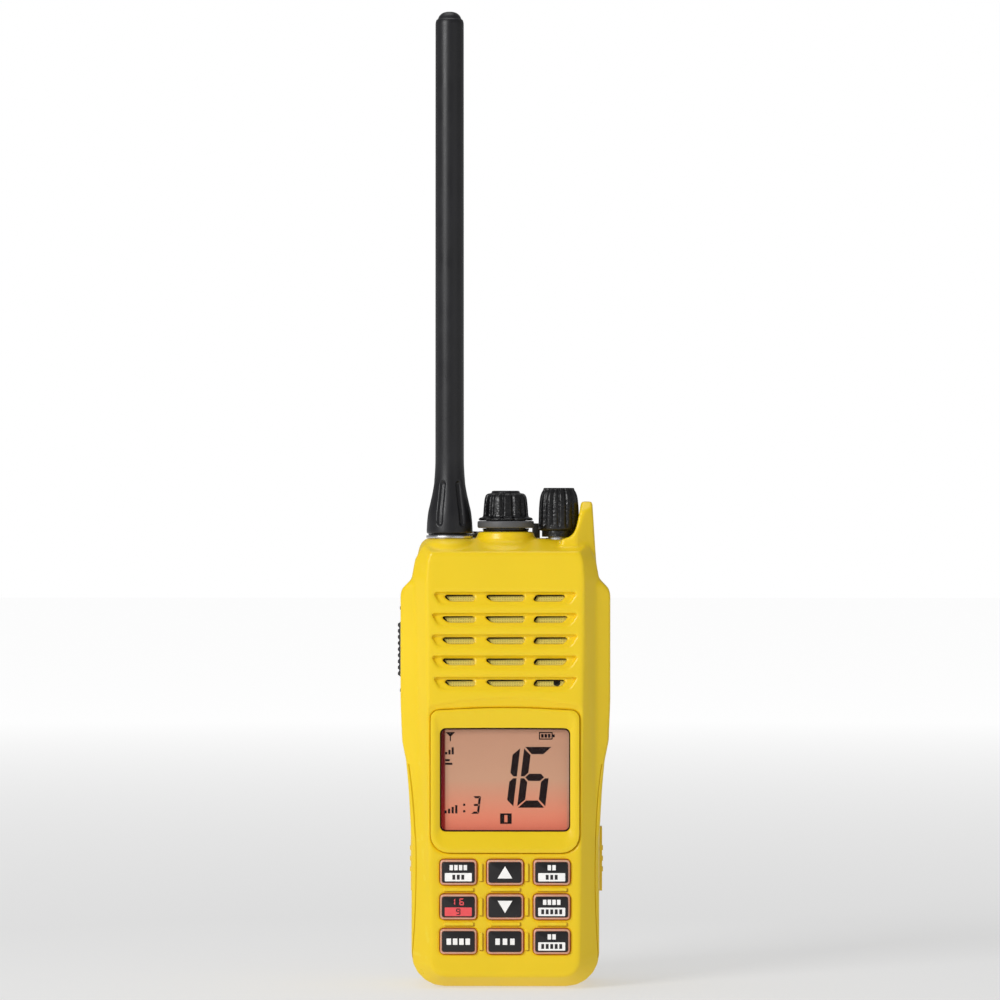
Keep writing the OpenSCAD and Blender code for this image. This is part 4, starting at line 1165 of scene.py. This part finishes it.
class RADIO_OT_antenna(bpy.types.Operator):
    """Turns the whip antenna with its fluted foot and domed tip"""
    bl_idname = "radio.antenna"
    bl_label = "Antenna"

    def execute(self, context):
        low, high = box_mm("antenna_sleeve")
        plug, coil = box_mm("antenna_plug")[1].z, box_mm("antenna_coil")[1].z
        base, tip = low.z, high.z
        bore = [(0, coil + 0.3), (2.66, coil + 0.3), (2.66, plug + 0.2), (3.54, plug + 0.2),
                (3.54, base), (5.4, base)]
        foot = smooth_curve([(6.05, base), (6.38, base + 0.25), (6.45, base + 0.7), (6.4, 128.2),
                             (6.3, 130.0), (6.05, 132.2), (5.55, 134.4), (5.05, 136.7),
                             (4.62, 138.9), (4.32, 141.0), (4.14, 143.3), (4.03, 145.6),
                             (4.0, 147.8)])
        whip = [(3.99, 170.0), (3.98, 205.0), (3.97, 240.0), (3.96, tip - 3.6)]
        dome = smooth_curve([(3.94, tip - 3.2), (3.72, tip - 2.4), (3.3, tip - 2.0),
                             (2.9, tip - 1.2), (2.1, tip - 0.45), (1.1, tip - 0.08),
                             (0.0, tip)], 4)
        flute_low, flute_high = 129.25, 140.0

        def depth_at(radius, around, z):
            if radius < 3.9 or not 127 < z < 142:
                return 0.0
            away = math.hypot(around, z - max(flute_low, min(flute_high, z))) - 0.72
            return 0.62 * clamp(0.5 - away / 0.5)

        bm = turned(bore + foot + whip + dome, 192)
        fluted(bm, 6, math.radians(-115), depth_at, ANTENNA_X)
        piece(bm, "antenna_whip", "antenna_rubber", "antenna", ("antenna_sleeve",), 50)
        piece(washer("antenna_ring", 4.75, 0.22, ANTENNA_X), "antenna_collar", "steel",
              stands_for=("antenna_ring",))
        piece(washer("antenna_seal", 3.75, 0.15, ANTENNA_X), "antenna_gasket", "black_rubber",
              "antenna_carrier", ("antenna_seal",))
        dress(antenna_socket="brass", antenna_plug="brass", antenna_coil="copper")
        return {"FINISHED"}


class RADIO_OT_jack_cap(bpy.types.Operator):
    """Turns the ribbed dust cap of the accessory jack, its tether ring, strap and screw"""
    bl_idname = "radio.jack_cap"
    bl_label = "Jack cap"

    def execute(self, context):
        low, high = box_mm("jack_cap")
        ring_low, ring_high = (corner.z for corner in box_mm("tether_ring"))
        base = box_mm("cap_seal")[1].z
        core = [(0, low.z + 5.3), (2.6, low.z + 5.3), (2.6, low.z), (4.0, low.z), (4.0, base),
                (6.35, base), (6.5, base + 0.3), (6.5, ring_low - 0.1), (5.5, ring_low - 0.1),
                (5.5, ring_high + 0.1), (7.25, ring_high + 0.1)]
        rim = smooth_curve([(7.25, ring_high + 0.1), (7.6, ring_high + 0.4),
                            (7.3, ring_high + 0.85), (6.5, ring_high + 1.15),
                            (6.3, ring_high + 2.0)], 4)
        side = [(6.22, 133.0), (6.1, 134.4), (5.98, 135.6)]
        crown = smooth_curve([(5.8, 136.4), (5.5, 137.0), (5.05, 137.35), (4.4, 137.5),
                              (4.05, 137.55)], 4)
        button = [(3.95, high.z - 0.35), (3.75, high.z - 0.08), (3.4, high.z), (0, high.z - 0.03)]
        bm = turned(core + rim[1:] + side + crown + button, 216)
        upright = [e for e in bm.edges if min(v.co.z for v in e.verts) > 130.8
                   and max(v.co.z for v in e.verts) < 136.5
                   and abs(e.verts[0].co.z - e.verts[1].co.z) > 0.7]
        bmesh.ops.subdivide_edges(bm, edges=upright, cuts=2)
        shoulder = ring_high + 1.1

        def depth_at(radius, around, z):
            if radius < 4.1 or z < ring_high + 0.05:
                return 0.0
            if z > shoulder:
                fade = min(1.0, (z - shoulder) / 0.6) * clamp((radius - 4.1) / 0.5)
                return 0.6 * bell(around / 0.8) * fade
            return 0.55 * bell(around / 0.9)

        fluted(bm, 12, math.radians(-9), depth_at, CAP_X)
        piece(bm, "dust_cap", "knob_rubber", "jack_cap", ("jack_cap",), 40)
        piece(washer("tether_ring", 5.62, 0.5, CAP_X), "tether_loop", "grey_rubber", "cap_carrier",
              ("tether_ring",))
        piece(washer("cap_seal", 4.2, 0.15, CAP_X, 64), "cap_gasket", "black_rubber", "jack_cap",
              ("cap_seal",))
        strap = piece(soften(from_node("tether_strap"), 0.2), "tether_band", "grey_rubber", None,
                      ("tether_strap",), 60)
        strap_z = box_mm("tether_strap")[0].z
        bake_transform(strap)
        softened("tether_screw", 0.12, "tether_rivet", "steel")
        dress(jack_socket="brass")
        return {"FINISHED"}


class RADIO_OT_knob(bpy.types.Operator):
    """Turns the ribbed volume knob"""
    bl_idname = "radio.knob"
    bl_label = "Volume knob"

    def execute(self, context):
        low, high = box_mm("volume_knob")
        shaft = box_mm("pot_shaft")[1].z
        r = (high.x - low.x) / 2
        base, top = low.z, high.z
        profile = [(0, shaft + 0.1), (3.03, shaft + 0.1), (3.03, base + 1.0), (4.05, base + 1.0),
                   (4.05, base), (4.6, base), (4.75, base + 0.15), (4.75, base + 1.65),
                   (5.3, base + 1.8)]
        side = smooth_curve([(5.3, base + 1.8), (r, base + 2.4), (r, base + 5.0),
                             (r - 0.1, base + 8.0), (r - 0.35, top - 3.0), (r - 0.75, top - 1.5),
                             (r - 1.25, top - 0.6), (4.42, top - 0.3)], 5)
        disc = [(4.36, top - 0.32), (4.3, top - 0.12), (4.15, top - 0.02), (3.9, top),
                (0, top - 0.02)]
        rib_low = base + 2.6

        def depth_at(radius, around, z):
            if radius < 4.1 or z < rib_low:
                return 0.0
            fade = min(1.0, (z - rib_low) / 0.8) * min(1.0, (radius - 4.1) / 0.3)
            return 0.42 * bell(around / 0.62) * fade

        bm = fluted(turned(profile + side[1:] + disc, 192), 16, 0.0, depth_at, KNOB_X)
        piece(bm, "volume_grip", "knob_rubber", "volume_knob", ("volume_knob",), 40)
        dress(volume_pot="speaker_metal", pot_shaft="steel")
        return {"FINISHED"}


# ---------------------------------------------------------------- side and back

class RADIO_OT_push_to_talk(bpy.types.Operator):
    """Moulds the ribbed rubber push-to-talk pad and dresses its switch"""
    bl_idname = "radio.push_to_talk"
    bl_label = "Push to talk"

    def execute(self, context):
        low, high = box_mm("ptt_pad")
        cy, cz = (low.y + high.y) / 2, (low.z + high.z) / 2
        flange_y, flange_z = (high.y - low.y) / 2, (high.z - low.z) / 2
        half_y, half_z = flange_y - 0.8, flange_z - 0.8

        def face(depth, y, z, radius):
            return depth, rect(-y, y, -z, z), [radius] * 4

        deep = high.x - low.x
        pad = loft([face(0.85, half_y - 1.2, half_z - 1.6, 1.8), face(1.2, half_y, half_z, 2.4),
                    face(deep - 0.8, half_y, half_z, 1.2)])
        flange = slab(rect(-flange_y, flange_y, -flange_z, flange_z), deep - 0.85, deep, 1.0)
        strip = slab(rect(0.8 - half_y, half_y - 0.8, -7.5, 7.5), 0.42, 1.4, 0.5)
        ribs = [slab(centred_rect(0, (k - 4) * 1.7, half_y * 2 - 2.0, 0.9), 0.0, 1.4, 0.3)
                for k in range(9)]
        nubs = [slab(centred_rect(0, z, 3.0, 0.9), 0.5, 1.4, 0.4)
                for z in (1.9 - half_z, half_z - 1.9)]
        voxel = 0.24
        bm = moulded(joined(pad, flange, strip, *ribs, *nubs), voxel, 2, 24000)
        turn = Matrix(((0, 1, 0), (1, 0, 0), (0, 0, 1)))
        for vert in bm.verts:
            vert.co = turn @ vert.co
        bmesh.ops.translate(bm, vec=(low.x, cy, cz), verts=bm.verts)
        bmesh.ops.recalc_face_normals(bm, faces=bm.faces)
        piece(bm, "talk_pad", "ptt_rubber", "ptt_pad", ("ptt_pad",), merged=False)
        softened("ptt_switch", 0.1, "talk_switch", "black_plastic")
        return {"FINISHED"}


class RADIO_OT_battery(bpy.types.Operator):
    """Finishes the latches, contacts, cells and springs of the battery pack, and its foam rest"""
    bl_idname = "radio.battery"
    bl_label = "Battery parts"

    def execute(self, context):
        for side in ("left", "right"):
            latch = f"latch_{side}"
            softened(latch, 0.35, f"latch_tab_{side}", "latch_yellow", latch, 3, 50)
        outer = rect(3 - HALF_W, HALF_W - 3, 3.0, BATTERY_TOP - 2.5)
        hole = rect(6 - HALF_W, HALF_W - 6, 6.0, BATTERY_TOP - 4.0)
        rest = combine(slab(outer, BAY + 0.04, BODY_LOW.y - 0.05, 7.0),
                       [slab(hole, BAY - 1, BODY_LOW.y + 1, 5.0)])
        piece(rest, "battery_rest", "black_rubber")
        softened("battery_contacts", 0.12, "battery_studs", "brass", "battery")
        dress(battery_cells="cell_wrap", latch_springs="steel")
        return {"FINISHED"}


class RADIO_OT_belt_clip(bpy.types.Operator):
    """Finishes the belt clip: its foot, ribbed lever, pin and spring"""
    bl_idname = "radio.belt_clip"
    bl_label = "Belt clip"

    def execute(self, context):
        softened("clip_base", 0.3, "clip_foot", "black_plastic", "battery", crease=50)
        back = box_mm("clip_lever")[1].y
        recess = slab(rect(-6.4, 6.4, 35.4, 70.0), back - 0.5, back + 1, 2.0)
        lever = combine(soften(from_node("clip_lever"), 0.45, 3), [recess])
        ribs = [slab(rect(-5.4, 5.4, z - 0.6, z + 0.6), back - 0.6, back - 0.02, 0.5)
                for z in (38.0, 41.0, 44.0, 47.0, 50.0)]
        piece(joined(lever, *ribs), "clip_arm", "grip_black", "belt_clip", ("clip_lever",), 50)
        dress(clip_pin="steel", clip_spring="steel")
        return {"FINISHED"}


class RADIO_OT_inner_parts(bpy.types.Operator):
    """Finishes what sits inside the cases and shows through their openings"""
    bl_idname = "radio.inner_parts"
    bl_label = "Inner parts"

    def execute(self, context):
        dress(light_guide="light_guide", dome_switches="steel", main_board="circuit_board",
              speaker="speaker_metal", speaker_mesh="speaker_cloth", microphone="mic_boot")
        softened("case_screws", 0.15, "case_bolts", "steel")
        softened("contact_block", 0.15, "contact_holder", "black_plastic")
        return {"FINISHED"}


# ---------------------------------------------------------------- stage

def aimed(obj, place, target):
    obj.location = place
    obj.rotation_euler = (Vector(target) - Vector(place)).to_track_quat("-Z", "Y").to_euler()


class RADIO_OT_stage(bpy.types.Operator):
    """Sets the pale floor, the soft studio lights and the camera"""
    bl_idname = "radio.stage"
    bl_label = "Studio"

    def execute(self, context):
        scene = context.scene
        sizes = scene.radio_sizes
        bm = bmesh.new()
        bmesh.ops.create_grid(bm, x_segments=1, y_segments=1, size=6.0)
        floor_mesh = bpy.data.meshes.new("floor")
        bm.to_mesh(floor_mesh)
        bm.free()
        floor = bpy.data.objects.new("floor", floor_mesh)
        scene.collection.objects.link(floor)
        made, tree, bsdf, where = surface("studio_floor", (0.42, 0.42, 0.42), 0.85,
                                          Specular_IOR_Level=0.05, Emission_Color=(1, 1, 1, 1))
        away = node(tree, "ShaderNodeVectorMath", {0: where}, operation="LENGTH").outputs["Value"]
        tree.links.new(spread(tree, away, 0.47, 0.86, 0.25, 1.8), bsdf.inputs["Emission Strength"])
        floor_mesh.materials.append(made)
        floor.location.z = -0.0004

        world = bpy.data.worlds.new("studio")
        world.use_nodes = True
        sky = world.node_tree.nodes["Background"]
        sky.inputs["Color"].default_value = (1, 1, 1, 1)
        seen = node(world.node_tree, "ShaderNodeLightPath").outputs["Is Camera Ray"]
        strength = spread(world.node_tree, seen, sizes.sky_light, 1.0, 0.0, 1.0)
        world.node_tree.links.new(strength, sky.inputs["Strength"])
        scene.world = world

        target = (0, CONTROL_Y * MM, 0.13)
        lights = (("key_light", (-0.76, -0.93, 0.62), 0.5, sizes.key_light),
                  ("fill_light", (0.9, -0.9, 0.35), 0.9, sizes.fill_light),
                  ("top_light", (-0.1, 0.1, 1.2), 0.8, sizes.top_light))
        for name, place, size, power in lights:
            lamp = bpy.data.lights.new(name, "AREA")
            lamp.energy, lamp.size = power, size
            made = bpy.data.objects.new(name, lamp)
            scene.collection.objects.link(made)
            aimed(made, place, target)

        data = bpy.data.cameras.new("camera")
        data.lens, data.clip_start = sizes.lens, 0.05
        camera = bpy.data.objects.new("camera", data)
        scene.collection.objects.link(camera)
        swing = math.radians(sizes.camera_turn)
        aim = Vector((-1.4 * MM, FRONT * MM, sizes.camera_aim))
        place = Vector((aim.x + math.sin(swing) * sizes.camera_away,
                        aim.y - math.cos(swing) * sizes.camera_away, sizes.camera_height))
        aimed(camera, place, aim)
        scene.camera = camera
        scene.view_settings.view_transform = "Standard"
        scene.view_settings.look = "None"
        return {"FINISHED"}


# ---------------------------------------------------------------- add-on

class RadioSizes(bpy.types.PropertyGroup):
    """Sizes and amounts that change the finished radio"""
    form_voxel: FloatProperty(
        name="Form grain", description="Voxel of the first soft block, in millimetres",
        default=0.5, min=0.4, max=1.5)
    form_rounds: IntProperty(
        name="Form rounding", description="Smoothing rounds of the first block",
        default=2, min=0, max=30)
    voxel: FloatProperty(
        name="Fine grain", description="Voxel of the finished cases, in millimetres",
        default=0.36, min=0.25, max=1.0)
    rough_voxel: FloatProperty(
        name="Trial grain", description="Voxel used while trying things out, in millimetres",
        default=0.6, min=0.3, max=2.0)
    rounds: IntProperty(
        name="Edge rounding", description="Smoothing rounds of the finished cases",
        default=1, min=0, max=12)
    front_faces: IntProperty(
        name="Front faces", description="Most triangles in the front case", default=150000)
    rear_faces: IntProperty(
        name="Rear faces", description="Most triangles in each rear case", default=60000)
    sky_light: FloatProperty(
        name="Sky light", description="Strength of the soft light from all round", default=0.26)
    key_light: FloatProperty(
        name="Key light", description="Power of the main light", default=9.1, unit="POWER")
    fill_light: FloatProperty(
        name="Fill light", description="Power of the side light", default=0.6, unit="POWER")
    top_light: FloatProperty(
        name="Top light", description="Power of the overhead light", default=3.0, unit="POWER")
    lens: FloatProperty(
        name="Lens", description="Focal length in millimetres", default=194.4)
    camera_away: FloatProperty(
        name="Camera distance", description="From the front of the radio",
        default=1.50, unit="LENGTH")
    camera_height: FloatProperty(
        name="Camera height", description="Above the floor", default=0.1356, unit="LENGTH")
    camera_aim: FloatProperty(
        name="Aim height", description="Height the camera looks at", default=0.1356, unit="LENGTH")
    camera_turn: FloatProperty(
        name="Camera turn", description="Degrees to the right of the front", default=0.8)


def tone(label, description, default):
    return FloatVectorProperty(name=label, description=description, subtype="COLOR", size=3,
                               min=0, max=1, default=default)


class RadioColours(bpy.types.PropertyGroup):
    """Main colours of the radio, linear"""
    case: tone("Case", "Moulded case plastic", (0.94, 0.655, 0.010))
    rubber: tone("Rubber", "Knob, cap and seals", (0.010, 0.010, 0.012))
    antenna: tone("Antenna", "Antenna sleeve", (0.008, 0.008, 0.010))
    key_cap: tone("Key cap", "Tops of the keys", (0.011, 0.010, 0.011))
    key_glow: tone("Key frame", "Lit silicone round the keys", (0.64, 0.38, 0.28))
    cloth: tone("Cloth", "Membrane behind the grille", (0.80, 0.70, 0.16))


STEPS = ("cases", "display", "keys", "antenna", "jack_cap", "knob", "push_to_talk", "battery",
         "belt_clip", "inner_parts", "stage")


class RADIO_PT_panel(bpy.types.Panel):
    """Lists the steps and the values that they use"""
    bl_idname = "RADIO_PT_panel"
    bl_label = "Radio finish"
    bl_space_type = "VIEW_3D"
    bl_region_type = "UI"
    bl_category = "Radio"

    def draw(self, context):
        for step in STEPS:
            self.layout.operator(f"radio.{step}")
        for group in (context.scene.radio_sizes, context.scene.radio_colours):
            box = self.layout.box()
            for name in group.__annotations__:
                box.prop(group, name)


CLASSES = (RadioSizes, RadioColours, RADIO_OT_cases, RADIO_OT_display, RADIO_OT_keys,
           RADIO_OT_antenna, RADIO_OT_jack_cap, RADIO_OT_knob, RADIO_OT_push_to_talk,
           RADIO_OT_battery, RADIO_OT_belt_clip, RADIO_OT_inner_parts, RADIO_OT_stage,
           RADIO_PT_panel)


def register():
    for cls in CLASSES:
        bpy.utils.register_class(cls)
    bpy.types.Scene.radio_sizes = PointerProperty(type=RadioSizes)
    bpy.types.Scene.radio_colours = PointerProperty(type=RadioColours)


def unregister():
    del bpy.types.Scene.radio_colours
    del bpy.types.Scene.radio_sizes
    for cls in reversed(CLASSES):
        bpy.utils.unregister_class(cls)


def main():
    register()
    for step in STEPS:
        getattr(bpy.ops.radio, step)()
    bpy.context.view_layer.update()


if __name__ == "__main__":
    main()
